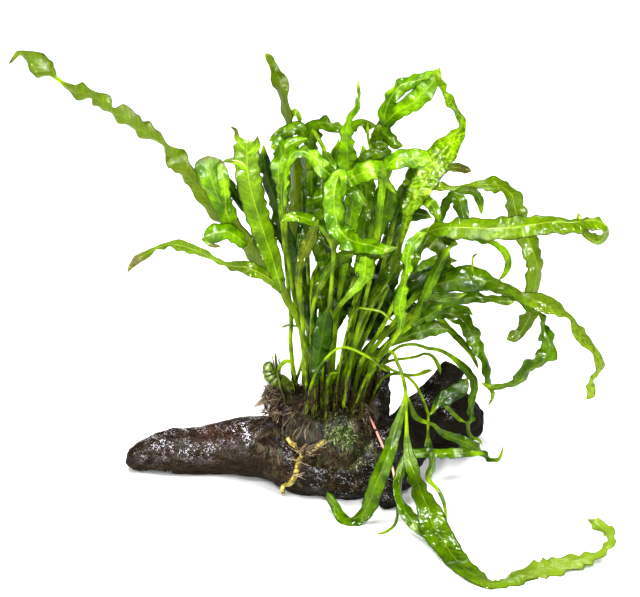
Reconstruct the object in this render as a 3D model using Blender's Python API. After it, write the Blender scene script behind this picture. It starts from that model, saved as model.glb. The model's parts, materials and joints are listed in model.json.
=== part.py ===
"""Java fern on driftwood: a forked piece of wood with a fern grown and tied onto its trunk.

The plant is laid out as it is seen from in front and a little above. A place in that view is
given in millimetres across (right of the origin) and up (in the picture plane); a third value,
back, is the distance behind the origin, away from the viewer. The origin lies under the trunk,
on the flat that the wood stands on.
"""

import math

import bmesh
import bpy
import numpy as np
from mathutils import Matrix, Vector, noise
from mathutils.bvhtree import BVHTree

# Units and the direction that the layout is drawn from.
MM = 0.001
VIEW_TILT = math.radians(25.0)
SIGHT = Vector((0.0, math.cos(VIEW_TILT), -math.sin(VIEW_TILT)))
RISE = Vector((0.0, math.sin(VIEW_TILT), math.cos(VIEW_TILT)))

# Driving dimensions, in millimetres.
PIECE_GAP = 0.35
MAT_GAP = 0.5
FLOOR_LIFT = 1.3
ROOT_HEIGHT = 45.0
PETIOLE_THICKNESS = 2.2
BLADE_THICKNESS = 1.1
TIP_THICKNESS = 0.7
STALK_WIDTH = 4.0

# How a leaf widens from its stalk, turns its blade out of the view and narrows in a tight bend.
LEAF_RAMP = 18.0
MOST_TURNED = 1.8
BEND_ROOM = 1.3
SLIGHT_BEND = 0.05
FORESHORTENED = 0.45
ALONG_SIGHT = 0.3
STALK_ROUNDNESS = 1.5

# How far apart a solid's stations are, by distance and by the angle turned between them.
STATION_SPACING = 20.5
STATION_TURN = math.radians(68.0)
TWIST_SHARE = 0.5

# How crowded leaves part along the line of sight; a petiole is held fast near its root.
SETTLE_SPACING = 4.0
SETTLE_ROUNDS = 260
SETTLE_GAP = 0.55
SETTLE_PUSH = 1.4
SETTLE_REACH = np.array([0.1, 0.22, 0.36, 0.22, 0.1])
FOLLOW_SAMPLES = 5.0
ROOT_GRIP = 26.0
ROOT_FIXED_SHARE = 0.15
LYING_HEIGHT = 4.0 * FLOOR_LIFT

# Cuts: the distance at which points merge, and the share of its volume that a cut piece keeps.
MERGE_DISTANCE = 0.01
LEAST_LEFT = 0.25
VOLUME_SLACK = 0.001
CUT_SLACK = 0.00001

# Facets round the limbs, the root mat and the stems.
WOOD_SIDES = 10
KNOB_SIDES = 6
MAT_SIDES = 9
RHIZOME_SIDES = 8
STEM_SIDES = 5
BLADE_SIDES = 4

# Lumps on the wood and the mat: how high they stand, and how many there are to a millimetre.
TRUNK_LUMPS = 1.6
ARM_LUMPS = 0.8
LIMB_LUMPS = 1.4
KNOB_LUMPS = 0.5
WOOD_LUMP_RATE = 0.06
MAT_LUMPS = 2.2
MAT_LUMP_RATE = 0.13
STEEP = 0.3

# Colours of the wet pieces, as linear red, green and blue.
WOOD_COLOUR = (0.028, 0.020, 0.015)
ROOT_COLOUR = (0.022, 0.014, 0.008)
RUNNER_COLOUR = (0.50, 0.46, 0.07)
MOSS_COLOUR = (0.06, 0.12, 0.02)
TIE_COLOUR = (0.70, 0.28, 0.20)
BRIGHT_LEAF = (0.19, 0.50, 0.02)
MID_LEAF = (0.09, 0.30, 0.015)
DARK_LEAF = (0.035, 0.13, 0.01)
OLIVE_LEAF = (0.10, 0.17, 0.015)

# Roughness of the wet leaves and wood, and of the moss and roots.
WET = 0.35
MATT = 0.6

# Wood. Each ring is (across, back, height of its centre, radius).
TRUNK_RINGS = [
    (-40, 29, 17.0, 17.0), (-30, 24, 18.0, 18.5), (-20, 16.5, 18.8, 20.5), (-10, 10.5, 18.3, 21.0),
    (0, 8, 18.0, 21.0), (10, 8, 18.0, 20.5), (18, 9.5, 19.8, 19.0), (26, 13, 21.0, 18.0),
    (34, 20, 20.5, 16.5), (40, 26, 20.0, 15.0),
]
LEFT_ARM_RINGS = [
    (-115, 34.5, 8.5, 4.0), (-112, 34, 8.0, 6.5), (-106, 34, 8.8, 8.8), (-98, 34, 10.2, 10.6),
    (-88, 33.5, 12.0, 12.4), (-76, 33, 12.8, 13.2), (-64, 33, 13.8, 14.2), (-56, 32, 15.2, 15.8),
    (-49, 31, 16.2, 16.8), (-40, 29, 17.0, 17.0),
]
RIGHT_LIMB_RINGS = [
    (30, 18, 20, 14.0), (38, 30, 23, 13.0), (46, 44, 25, 13.5), (54, 54, 22.5, 15.0),
    (62, 61, 19, 17.0), (70, 67, 17, 17.5), (78, 71, 17, 14.5), (83, 73, 18.5, 9.0), (85, 74, 19.5, 5.0),
]
RIGHT_PRONG_RINGS = [
    (48, 47, 28, 9.0), (55, 54, 35, 9.0), (61, 60, 42, 7.8), (66, 64, 49, 6.0),
]
REAR_STUMP_RINGS = [
    (18, 20, 24, 11.0), (20, 32, 44, 10.0), (22, 40, 58, 8.6), (22.5, 43, 70, 6.4),
]
FRONT_FOOT_RINGS = [
    (20, 6, 14, 11.0), (25, -4, 9.5, 10.0), (29, -11, 7.0, 8.4), (31, -16, 6.0, 6.0), (32, -18, 6.0, 3.0),
]
FOOT_KNOB_RINGS = [
    (30, 8, 10, 7.0), (37, 5, 8.5, 6.8), (41, 3, 8.0, 4.5), (43, 2, 8.0, 2.0),
]

# Root mat over the trunk. Each ring is (across, back, height, half depth, half height).
MAT_RINGS = [
    (-38, 23, 46, 5.0, 7.0), (-34, 22, 43, 11.0, 13.5), (-26, 18, 37, 20.0, 20.5),
    (-14, 13, 35, 25.0, 23.5), (-2, 10, 33, 25.0, 25.5), (8, 10, 32, 23.5, 24.5),
    (14, 11, 32, 20.0, 21.0), (20, 13, 33, 14.0, 15.0), (23, 14, 34, 7.0, 8.0),
]
ROOT_TAIL = [(-35, 52, 3.0), (-38.5, 53.5, 2.2), (-41, 52.5, 1.8), (-44.5, 49.5, 1.0)]
ROOT_TAIL_BACK = (24, 21, 19)

# The band tied round the wood: where it leans, and how far it stands off.
TIE_TOP_ACROSS = 19.5
TIE_LOW_ACROSS = 26.5
TIE_LEANS_OVER = 24.0
TIE_CENTRE_BACK = 9.0
TIE_CENTRE_HEIGHT = 21.0
TIE_WIDTH = 1.5
TIE_THICKNESS = 0.7
TIE_STANDOFF = 1.35
TIE_SEGMENTS = 28

# Far enough outside the plant to look at it from.
OUTSIDE = 300.0


class Lobe:
    """A ribbon of leaf: a route of (across, up, seen width) with its depth and its real width."""

    def __init__(self, route, back, blade, twist=1):
        self.route = route
        self.back = back
        self.blade = blade
        self.twist = twist


class Frond:
    """One grown leaf: a petiole rooted at (across, back) in the mat, and the lobes on it."""

    def __init__(self, name, root, colour, lobes):
        self.name = name
        self.root = root
        self.colour = colour
        self.lobes = lobes


FRONDS = [
    Frond("frond_left_trident", (-12, 1), BRIGHT_LEAF, [
        Lobe([(-11, 58, 3), (-11, 70, 3), (-14, 81, 3.2), (-17, 88, 3.4), (-22, 101, 4), (-26, 108, 4.5),
              (-32, 119, 5), (-38, 124, 7), (-43, 131, 7.5), (-50, 141, 8), (-57, 150, 11), (-62, 156, 11),
              (-66, 163, 9), (-72, 167, 9), (-79, 175, 9), (-84, 182, 12), (-89, 189, 8), (-97, 195.5, 5),
              (-104, 201, 7), (-112, 207, 9.5), (-120, 209, 7), (-129, 217, 8.5), (-140, 221, 7),
              (-150, 228.5, 4), (-160, 235, 9), (-167, 240, 5), (-172, 242, 3), (-177, 236, 1.5)],
             (1, -5, -10, -14, -17, -17, -14, -10, -6), 10),
        Lobe([(-30, 115, 5), (-37, 121, 6), (-48, 126, 8), (-60, 128, 3), (-70, 133, 4), (-80, 137, 6),
              (-90, 139, 4), (-98, 136, 2.5), (-105, 132, 5), (-110, 128, 4), (-113, 123, 1.5)],
             (-11, -19, -26, -32, -36), 8),
        Lobe([(-30, 115, 5), (-34, 130, 9), (-38, 142, 12), (-41.5, 153, 13), (-45, 165, 14), (-48, 178, 14),
              (-49, 190, 13), (-50, 196, 9), (-54, 199, 5), (-57, 202, 2)],
             (-11, -19, -25, -27, -22), 14, -1),
        Lobe([(-48, 139, 6), (-55, 146, 5), (-65, 147, 4), (-72, 144, 4), (-72, 139, 3), (-63, 138, 2)],
             (-14, -21, -25, -22), 6),
        Lobe([(-57, 150, 8), (-60, 160, 7), (-61.5, 171, 7), (-64, 182, 7), (-68, 185, 5), (-70, 172, 4)],
             (-16, -23, -26, -12), 8),
        Lobe([(-48, 180, 5), (-55, 184, 4), (-62, 183, 1.5)], (-26, -27), 5),
    ]),
    Frond("frond_left_dark", (-15, 16), DARK_LEAF, [
        Lobe([(-13, 70, 2.6), (-13, 85, 2.6), (-15, 95, 3), (-20, 110, 4), (-23, 125, 6), (-26, 140, 8),
              (-29, 150, 8), (-33, 165, 8), (-38, 180, 7), (-39, 193, 2)], (16, 17, 14, 8, 2), 9),
        Lobe([(-25, 138, 4), (-36, 149, 6), (-48, 159, 7), (-56, 169, 6), (-60, 177, 2)], (9, 12, 14), 7),
    ]),
    Frond("frond_top_left_tall", (-16, 22), OLIVE_LEAF, [
        Lobe([(-17, 78, 2.6), (-18, 105, 2.8), (-22, 120, 4), (-25, 140, 6), (-23, 155, 7), (-21, 172, 8),
              (-22, 185, 7), (-24, 195, 4), (-25, 203, 4), (-27, 211, 5), (-28, 218, 4), (-30, 227, 10),
              (-32, 235, 5), (-35, 240, 5), (-38, 243, 4)], (22, 26, 31, 35, 36), 10),
        Lobe([(-26, 207, 4), (-23, 211, 4), (-20, 209, 4), (-19, 204, 2)], (35, 30), 4),
    ]),
    Frond("frond_top_flat", (-11, 22), MID_LEAF, [
        Lobe([(-12, 75, 2.4), (-13, 95, 2.4), (-15, 130, 3), (-16, 160, 4), (-16, 180, 5), (-14, 194, 6),
              (-10, 204, 8), (0, 203, 4), (5, 201.5, 4), (11, 203.5, 4), (18, 205, 5), (24, 201, 5),
              (29, 197, 6), (33, 193, 4), (37, 192, 3)], (22, 24, 22, 18, 10, 2), 9),
        Lobe([(-14, 192, 5), (-20, 202, 5), (-30, 198, 4), (-36, 195, 2)], (16, 10, 8), 6),
        Lobe([(-11, 202, 3), (-9, 196, 3), (-6, 190, 3), (-8, 183, 1.5)], (13, 4, 0), 4),
    ]),
    Frond("frond_bright_pair", (-20, 12), BRIGHT_LEAF, [
        Lobe([(-23, 70, 3), (-24, 80, 3), (-24.5, 88, 3), (-24, 97, 3), (-26, 120, 3), (-28, 145, 4),
              (-29, 165, 5), (-28, 180, 6), (-27, 190, 6), (-22, 194, 5), (-15, 196, 1.5)],
             (12, 6, -2, -8, -12, -18), 7),
        Lobe([(-28, 186, 5), (-31, 193, 5), (-35, 191, 2)], (-15, -20), 6),
        Lobe([(-27, 189, 6), (-30, 183, 8), (-31, 176, 6), (-30, 170, 1.5)], (-16, -24, -25), 8, -1),
    ]),
    Frond("frond_gloss_diagonal", (-16, 7), BRIGHT_LEAF, [
        Lobe([(-17, 66, 2.5), (-17.5, 80, 2.5), (-20, 97, 2.5), (-25, 125, 3), (-27, 150, 4), (-27, 172, 5),
              (-25, 184, 6), (-20, 189, 7), (-12, 186, 9), (-6, 179, 9), (4, 171, 8), (12, 165, 6),
              (18, 158, 2)], (7, 0, -7, -14, -22, -30, -33), 9),
    ]),
    Frond("frond_centre_pointed", (-4, 7), BRIGHT_LEAF, [
        Lobe([(-1, 72, 2.8), (0, 92, 3), (3, 115, 3.5), (7, 140, 6), (10, 165, 10), (7, 182, 12),
              (6.5, 192, 10), (6.5, 200, 7), (7.5, 205, 5), (9.5, 210, 4), (12.5, 217, 3), (12.5, 228, 1.2)],
             (7, 6, 4, 0, -4, -6), 12),
    ]),
    Frond("frond_upper_arch", (-1, 12), BRIGHT_LEAF, [
        Lobe([(6, 75, 2.6), (10, 95, 2.8), (16, 125, 3), (22, 155, 4), (27, 182, 5), (26, 195, 6),
              (27, 207, 7), (29, 215, 7), (33, 222, 7), (38, 226, 7), (46, 228, 7), (55, 231, 5),
              (57, 235, 1.5)], (12, 12, 13, 14, 14, 12, 10), 8),
        Lobe([(27, 205, 6), (33, 209, 6), (40, 213, 7), (46, 218, 8), (52, 225, 6), (54, 229, 2)],
             (12, 4, 2), 8, -1),
    ]),
    Frond("frond_speckled", (2, 3), OLIVE_LEAF, [
        Lobe([(5, 68, 1.8), (14, 90, 1.8), (22, 108, 1.8), (29, 119, 1.8), (33, 130, 2), (38, 147, 4),
              (40, 158, 8), (44, 165, 12), (50, 175, 13), (56, 185, 13), (62, 193, 10), (67, 199, 5),
              (69, 204, 3), (67, 209, 3), (64, 214, 3.5), (60, 220, 3), (59, 225, 2), (57, 229, 1.2)],
             (3, -5, -10, -14, -14, -8, -4), 13),
        Lobe([(51, 174, 5), (59, 180, 4), (66, 180.5, 5), (74, 178.5, 4)], (-13, -6, 0), 5),
    ]),
    Frond("frond_bright_level", (3, -2), BRIGHT_LEAF, [
        Lobe([(8, 72, 2.6), (13, 95, 2.8), (19, 120, 3), (23, 145, 3.5), (25, 165, 4), (27, 178, 6),
              (32, 184, 8), (41, 185, 9), (48, 185, 8), (53, 183, 2)], (-2, -8, -15, -22, -28, -34), 9),
        Lobe([(26, 180, 3), (28, 172, 4), (33, 166, 2)], (-25, -32), 4),
    ]),
    Frond("frond_right_droop", (3, 22), MID_LEAF, [
        Lobe([(11, 75, 2.6), (20, 95, 2.6), (30, 120, 3), (38, 150, 3), (46, 166, 4), (55, 171, 4),
              (62, 170, 4), (68, 169.5, 3), (74, 172, 4), (82, 173, 5), (89, 172, 8), (95, 169, 7),
              (98, 164, 10), (100, 157, 10), (103, 150, 8), (108, 142, 9), (109, 134, 9), (111, 126, 9),
              (109, 118, 8), (108, 111, 6), (107, 104, 5), (105, 98, 6), (101, 92, 6), (95, 86, 4)],
             (22, 26, 32, 38, 42, 44, 42, 40, 40), 10),
    ]),
    Frond("frond_right_straight", (8, 3), BRIGHT_LEAF, [
        Lobe([(13, 70, 3), (20, 84, 3), (28, 98, 3), (36, 116, 3.5), (42, 134, 5), (48, 143, 7),
              (58, 147, 9), (70, 147.5, 12), (82, 147, 12), (95, 147.5, 13), (108, 149, 11), (120, 150, 9),
              (130, 149.5, 7), (140, 151, 5), (147, 147, 4), (143, 141, 4), (137, 143, 3), (133, 149, 2.5),
              (132, 156, 1.5)], (3, -6, -14, -20, -26, -32, -38, -42, -40), 13),
        Lobe([(60, 147, 6), (71, 143, 4), (80, 141.5, 4), (86, 139.5, 3), (91, 136, 4), (94, 131, 4),
              (94, 126, 4), (92, 122, 3), (89, 119, 1.5)], (-26, -20, -14, -10), 5),
    ]),
    Frond("frond_right_mid", (7, 12), MID_LEAF, [
        Lobe([(15, 72, 2.6), (26, 88, 2.8), (38, 104, 3.2), (46, 112, 5), (52, 115.5, 8), (60, 118, 10),
              (70, 120, 15), (80, 119, 12), (88, 117, 5), (95, 115, 5), (101, 111, 7), (108, 109, 9),
              (116, 106, 9), (124, 102, 5), (129, 97, 4), (134, 90, 5), (139, 83, 5), (143, 77, 5),
              (144, 71, 4), (141, 66, 3), (139, 60, 4), (137, 54, 1.5)],
             (12, 4, -6, -16, -24, -30, -34, -36, -38), 11),
        Lobe([(48, 113, 4), (56, 109.5, 5), (64, 110, 5), (72, 112, 1.5)], (-8, -14, -14), 5),
    ]),
    Frond("frond_twisted_thin", (8, 17), MID_LEAF, [
        Lobe([(19, 74, 2.4), (34, 90, 2.4), (46, 101, 3), (55, 105, 4), (65, 108, 4.5), (75, 110, 5),
              (85, 109, 3), (92, 108, 4), (98, 107, 2)], (17, 14, 10, 4, 0), 5),
    ]),
    Frond("frond_toothed_droop", (9, 22), MID_LEAF, [
        Lobe([(20, 79, 2.4), (40, 100, 2.6), (60, 113, 3.5), (80, 116, 4), (98, 110, 4), (108, 103, 3.5),
              (112, 99, 3), (114, 94, 3), (117, 87, 5), (117, 81, 6), (114, 77, 6), (109, 73, 5),
              (105, 70, 5), (102, 66, 4), (97, 62.5, 3), (91, 61, 3), (86, 60.5, 3), (80, 63, 1.5)],
             (22, 25, 24, 20, 14, 12, 12, 14), 6),
    ]),
    Frond("frond_wavy_down", (6.5, 26), MID_LEAF, [
        Lobe([(14, 78, 2.6), (32, 94, 2.8), (50, 100, 4), (62, 101, 6), (68, 99, 7), (72, 95, 7),
              (76, 88, 8), (79, 82, 6), (82, 76, 5), (84, 70, 4), (84.5, 63, 3), (87, 56, 2),
              (84, 50, 1.2)], (27, 30, 30, 26, 22, 20), 8),
        Lobe([(57, 100.5, 4), (63, 92, 4), (70, 85, 4), (76, 77, 3), (79, 70, 1.5)], (29, 32, 32), 4),
        Lobe([(60, 101, 5), (70, 103, 6), (76, 100, 1.5)], (29, 34), 6),
    ]),
    Frond("frond_inverted_v", (-3, 22), MID_LEAF, [
        Lobe([(5, 78, 2.4), (20, 104, 2.4), (38, 128, 3), (52, 142, 4), (58, 155, 4), (61, 163, 4),
              (66, 165, 5), (69, 158, 6), (71, 148, 2)], (22, 24, 24, 20, 14, 8), 6),
        Lobe([(60, 161, 3), (67, 167, 3), (75, 168, 3), (79, 163, 3), (80, 155, 1.5)], (15, 20, 22), 3.5),
    ]),
    Frond("frond_centre_c", (-2, 2), BRIGHT_LEAF, [
        Lobe([(-3, 72, 2.6), (-3, 98, 2.8), (-1, 130, 3), (2, 158, 4), (3.5, 170, 6), (2.5, 177, 8),
              (0, 172, 10), (-1, 164, 11), (-0.5, 157, 12), (1, 149, 11), (6, 142, 11), (13, 139, 10),
              (20, 137.5, 8), (27, 136, 5), (34, 137, 2)],
             (2, -4, -10, -16, -24, -34, -40, -42, -42), 12),
    ]),
    Frond("frond_spoon", (-7, -3), BRIGHT_LEAF, [
        Lobe([(-7, 70, 2.4), (-5, 88, 2.4), (-1, 100, 2.6), (4, 107, 3), (10, 113.5, 4), (15, 119, 5),
              (16.5, 126, 9), (16.5, 132, 3)], (-3, -10, -18, -26, -30), 9),
    ]),
    Frond("frond_small_arch", (-12, 11), BRIGHT_LEAF, [
        Lobe([(-9, 72, 2.4), (-5, 95, 2.4), (-2, 118, 2.6), (-1, 134, 3), (-3, 142, 3), (-7, 147.5, 3.5),
              (-12, 151, 5), (-18, 153.5, 5), (-24, 153.5, 4), (-29.5, 151, 1.5)],
             (11, 4, -4, -12, -20, -26), 5),
    ]),
    Frond("frond_yellow_ribbon", (-16, 2), OLIVE_LEAF, [
        Lobe([(-16, 72, 2.2), (-18, 98, 2.4), (-20, 118, 3), (-19, 127, 3), (-18, 132, 4), (-15, 138, 5),
              (-12, 145, 4), (-9, 152, 1.5)], (2, -8, -18, -26, -30), 5),
    ]),
    Frond("frond_midrib", (2, 8), MID_LEAF, [
        Lobe([(9, 80, 2.4), (17, 110, 2.6), (21, 130, 3), (23, 140, 4), (24, 147, 6), (26, 154, 11),
              (28, 161, 13), (29, 167, 9), (30, 173, 2)], (8, 4, -4, -14, -20), 13),
    ]),
    Frond("frond_dark_bowl", (2, 17), DARK_LEAF, [
        Lobe([(12, 84, 2.4), (22, 112, 2.6), (29, 138, 3), (33, 151, 6), (40, 155, 9), (48, 155, 6),
              (53, 153, 1.5)], (17, 16, 10, 4, 2), 9),
        Lobe([(30, 143, 3), (33, 157, 3.5), (40, 162, 3.5), (46, 163, 4), (51, 161, 3.5), (55, 156, 3),
              (57, 151, 1.5)], (9, -2, -8, -10), 4),
    ]),
    Frond("frond_mid_leaf", (7, -2), BRIGHT_LEAF, [
        Lobe([(16, 64, 2.2), (27, 80, 2.4), (34, 90, 3), (36, 97, 5), (35, 104, 7), (36, 110, 6),
              (38, 118, 4), (39, 127, 5), (40, 135, 7), (45, 142, 6), (50, 145, 1.5)],
             (-2, -14, -24, -32, -36, -38), 7),
    ]),
    Frond("frond_green_strap", (12, 6), BRIGHT_LEAF, [
        Lobe([(22, 72, 2.4), (32, 86, 2.6), (38, 92, 3.5), (43, 97, 4), (46, 104, 5), (50, 113, 6),
              (54, 122, 6), (58, 130, 5), (62, 137, 3), (67, 138.5, 1.5)], (6, -6, -16, -24, -28), 6),
        Lobe([(41, 95, 4), (49, 99, 6), (54, 102, 7), (58, 106, 2)], (-11, -20, -24), 7),
    ]),
    Frond("frond_low_olive", (12, 12), DARK_LEAF, [
        Lobe([(19, 74, 2.4), (28, 83, 3.5), (36, 87, 5), (46, 91, 8), (55, 93, 9), (63, 92, 2)],
             (12, 6, 0, -4), 9),
    ]),
    Frond("frond_low_diagonal", (-10, 6), MID_LEAF, [
        Lobe([(-13, 80, 2.2), (-12, 104, 2.6), (-8, 116, 4), (-3, 125, 6), (4, 132, 7), (12, 134, 1.5)],
             (6, -2, -10, -18, -24), 7),
    ]),
    Frond("frond_dark_stub", (-9, 17), DARK_LEAF, [
        Lobe([(-9, 75, 3), (-11, 90, 5), (-13, 102, 7), (-14, 110, 9), (-18, 117, 5)], (17, 15, 12), 9),
    ]),
    Frond("frond_mid_left", (-6, 12), MID_LEAF, [
        Lobe([(-8, 80, 2.4), (-8, 96, 3), (-5.5, 107, 6), (-5, 118, 1.5)], (12, 8, 2), 6),
    ]),
    Frond("frond_low_broad", (-12, -4), DARK_LEAF, [
        Lobe([(-11, 62, 4), (-9.5, 74, 8), (-7.5, 85, 10), (-6, 95, 10), (-4, 104, 2)],
             (-4, -10, -16, -20), 10),
    ]),
    Frond("frond_dark_centre", (-4, 17), DARK_LEAF, [
        Lobe([(0, 85, 2.4), (1, 104, 4), (3, 114, 6), (5, 124, 1.5)], (17, 15, 10), 6),
    ]),
    Frond("frond_thin_pale", (-2, -3), OLIVE_LEAF, [
        Lobe([(3, 75, 1.8), (8, 96, 1.8), (12, 103.5, 1.8), (18, 103.5, 1.8), (25, 102, 1.8), (30, 98, 1.8),
              (34, 94, 1.2)], (-3, -10, -18, -26, -30), 2),
    ]),
    Frond("frond_front_down", (13, 0), BRIGHT_LEAF, [
        Lobe([(17, 62, 2.5), (25, 78, 2.5), (31, 80, 2.5), (34, 74, 2.5), (36.5, 68, 2.5), (38.3, 60, 2.5),
              (38.7, 54, 2.5), (39, 40, 2.5), (39.5, 28, 4), (42, 17, 6), (45.5, 6, 8), (50, -5, 12),
              (54, -15, 16), (60, -25, 14), (66, -34, 11), (74, -41, 8), (83, -46, 5), (92, -45, 5),
              (103, -40, 6), (115, -38, 9), (127, -34, 7), (137, -32, 5), (146, -28.5, 4), (151, -24, 4),
              (149, -18, 5), (144, -14, 4), (138, -11, 2)],
             (0, -12, -22, -32, -44, -60, -84, -98, -94, -80, -70), 14),
        Lobe([(38.6, 55, 3), (36.5, 48, 4), (33.5, 38, 6), (30, 27, 7.5), (26, 16, 9), (22, 6, 9.5),
              (18.5, -4, 9), (14, -10, 6), (9, -12.5, 4), (4, -10, 4), (1.5, -5, 2)],
             (-27, -31, -35, -36, -31, -17), 10, -1),
        Lobe([(39.5, 26, 5), (37, 18, 6), (34.5, 8, 4), (35.5, -1, 4.5), (38, -8, 6), (42, -13, 3)],
             (-39, -42, -48, -54), 6),
        Lobe([(39, 57, 3), (41.5, 50, 3), (43.5, 45, 4), (48, 42, 3), (54, 40, 2.5), (58, 36, 4),
              (65, 33, 5), (72, 30, 7), (78, 26.5, 6), (84, 22, 3), (88, 20, 2), (91, 22, 2),
              (92.5, 28, 1.2)],
             (-26, -21, -12, 0, 10, 14), 7),
        Lobe([(39.5, 26, 5), (48, 25, 5.5), (58, 24.5, 5), (68, 25, 6), (76, 24.5, 4), (82, 24, 1.5)],
             (-39, -36, -30, -24), 6),
        Lobe([(52, 24.5, 4), (53, 17, 4), (50.5, 12, 4), (52, 9, 3), (56, 5, 2), (59, -1, 2), (60.5, -8, 2),
              (60.5, -14, 1.2)], (-34, -38, -42, -48), 4),
        Lobe([(35.3, 0, 3), (34, -8, 2), (33.5, -13, 2), (30, -17, 2), (26, -19, 2), (22, -19.5, 1.2)],
             (-47, -50, -50), 2),
    ]),
    Frond("frond_over_limb", (18, 17), MID_LEAF, [
        Lobe([(24, 70, 2.2), (34, 82, 2.2), (44, 84, 2.2), (50, 82, 2.4), (57, 81, 2.6), (63, 78, 3),
              (68, 74, 4), (73, 69, 4.5), (76.5, 63, 4.5), (76, 56, 4), (74.5, 50, 4), (75.5, 45, 4),
              (74, 41, 3), (73.5, 36, 2), (76, 32.5, 2), (80, 31, 2), (81.5, 28, 1.2)],
             (17, 18, 24, 28, 32, 34, 34), 5),
    ]),
    Frond("frond_limb_leaf", (17, 11), DARK_LEAF, [
        Lobe([(25, 64, 2), (36, 68, 2), (44, 62, 2), (49, 52, 2), (52, 45, 2.5), (55, 50, 4), (59, 54, 8),
              (65, 57, 9), (70, 61, 8), (73, 66, 1.5)], (11, 6, 6, 10, 18, 22), 9),
        Lobe([(51, 47, 2), (51, 38, 2), (51, 33, 3), (51.5, 27, 5), (53, 20, 2)], (14, 8, 3, 0), 5),
        Lobe([(60, 54, 3), (64, 47, 3), (68, 43, 3), (72, 41, 1.5)], (21, 24, 26), 3),
    ]),
    Frond("frond_limb_thin", (13, 17), DARK_LEAF, [
        Lobe([(19, 66, 2), (28, 74, 2), (37, 76, 2), (44, 77, 2), (50, 79, 2), (54, 77, 2.4), (57, 72, 3),
              (58, 67, 1.5)], (17, 18, 24, 34, 38), 3),
        Lobe([(27, 73, 2), (36, 68, 2), (44, 67, 2), (50, 69, 3), (54, 70, 1.5)], (19, 24, 32, 34), 3),
    ]),
    Frond("frond_arch_small", (-17, -3), OLIVE_LEAF, [
        Lobe([(-13, 62, 2), (-7, 74, 2), (0, 81, 2), (6, 82.5, 2), (13, 80, 2), (20, 76, 2), (26, 71, 2),
              (30, 69, 1.2)], (-3, -12, -20, -22, -22), 2.4),
    ]),
    Frond("frond_rear_left", (-14, 27), DARK_LEAF, [
        Lobe([(-15, 92, 2.6), (-18, 122, 5), (-21, 150, 9), (-24, 168, 8), (-26, 184, 1.5)],
             (27, 42, 60, 76, 88), 9),
    ]),
    Frond("frond_rear_tall", (-7, 28), MID_LEAF, [
        Lobe([(-5, 95, 2.6), (-3, 130, 6), (0, 160, 10), (0, 182, 8), (2, 197, 1.5)],
             (28, 40, 56, 70, 78), 10),
    ]),
    Frond("frond_rear_centre", (-1, 29), MID_LEAF, [
        Lobe([(8, 95, 2.6), (14, 130, 6), (17, 158, 10), (17, 182, 8), (15, 194, 1.5)],
             (29, 42, 58, 68, 74), 10),
    ]),
    Frond("frond_rear_right", (4.5, 31.5), DARK_LEAF, [
        Lobe([(16, 92, 2.6), (25, 120, 5), (32, 146, 10), (36, 164, 8), (40, 176, 1.5)],
             (31, 44, 64, 84, 98), 10),
    ]),
    Frond("frond_rear_far_right", (8, 34), MID_LEAF, [
        Lobe([(9, 80, 2.6), (18, 98, 2.6), (34, 112, 5), (48, 124, 9), (58, 130, 7), (68, 130, 1.5)],
             (33, 38, 52, 68, 82, 94), 9),
    ]),
    Frond("frond_rear_droop", (-4, 33), MID_LEAF, [
        Lobe([(-1, 92, 2.6), (3, 112, 5), (6, 126, 8), (8, 122, 9), (9, 108, 8), (9, 94, 1.5)],
             (33, 52, 76, 98, 112, 120), 9),
    ]),
    Frond("frond_rear_low_left", (-11, 33), DARK_LEAF, [
        Lobe([(-13, 84, 2.4), (-15, 102, 5), (-16, 112, 8), (-17, 104, 8), (-17, 90, 1.5)],
             (33, 54, 78, 98, 108), 8),
    ]),
    Frond("frond_rear_low_right", (2, 34), DARK_LEAF, [
        Lobe([(12, 88, 2.4), (24, 102, 5), (34, 108, 9), (42, 104, 8), (50, 96, 1.5)],
             (34, 52, 74, 96, 108), 9),
    ]),
    Frond("crozier_left", (-25, 9), BRIGHT_LEAF, [
        Lobe([(-29, 60, 3), (-31, 68, 3), (-29.5, 73, 3), (-26, 75, 3), (-22.5, 73.5, 2)], (9, 7, 5), 3),
    ]),
    Frond("crozier_centre", (-6, -7), MID_LEAF, [
        Lobe([(-4.5, 54, 2.5), (-4, 64, 2.5), (-1.5, 68.5, 2.2), (2, 68.5, 1.5)], (-8, -13, -16), 2.5),
    ]),
    Frond("sprout_left", (-30, 27), OLIVE_LEAF, [
        Lobe([(-31.5, 66, 1.8), (-32.5, 75, 1.8), (-33, 80, 1.2)], (27, 28, 28), 1.8),
    ]),
]

# The rhizome and the runner, as (across, up, seen width); the runner lies on the wood before it.
RHIZOME_ROUTE = [(-22, 58, 6), (-29, 63, 7.5), (-34.5, 66.5, 8), (-36.5, 71, 6.5), (-35.5, 74.5, 3)]
RHIZOME_BACK = (18, 17, 16)
RUNNER_ROUTE = [(-26, 33, 2.6), (-24, 30, 2.8), (-21, 28, 2.8), (-18, 23.5, 2.8), (-20, 20, 2.8),
                (-21, 15, 3.0), (-23, 10, 3.0), (-25, 7.5, 3.0), (-28, 7, 2.8), (-29, 4, 2.6),
                (-28, 1.5, 2.0)]
RUNNER_SIDE_ROUTE = [(-18.5, 23, 2.6), (-14, 25, 2.6), (-11, 27, 2.6), (-8, 30, 2.4), (-6, 32, 1.6)]
RUNNER_STANDOFF = 2.9
RUNNER_HANGS_AT = 0.0
MOSS_CENTRE = (3, 33)
MOSS_SIZE = (8, 6, 2.6)


def view_point(across, up, back):
    """The point in space that shows at (across, up) and lies at the given depth."""
    height = (up - back * math.sin(VIEW_TILT)) / math.cos(VIEW_TILT)
    return Vector((across, back, height))


def seen_up(point):
    """How far up the picture plane a point shows."""
    return point.dot(RISE)


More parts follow.
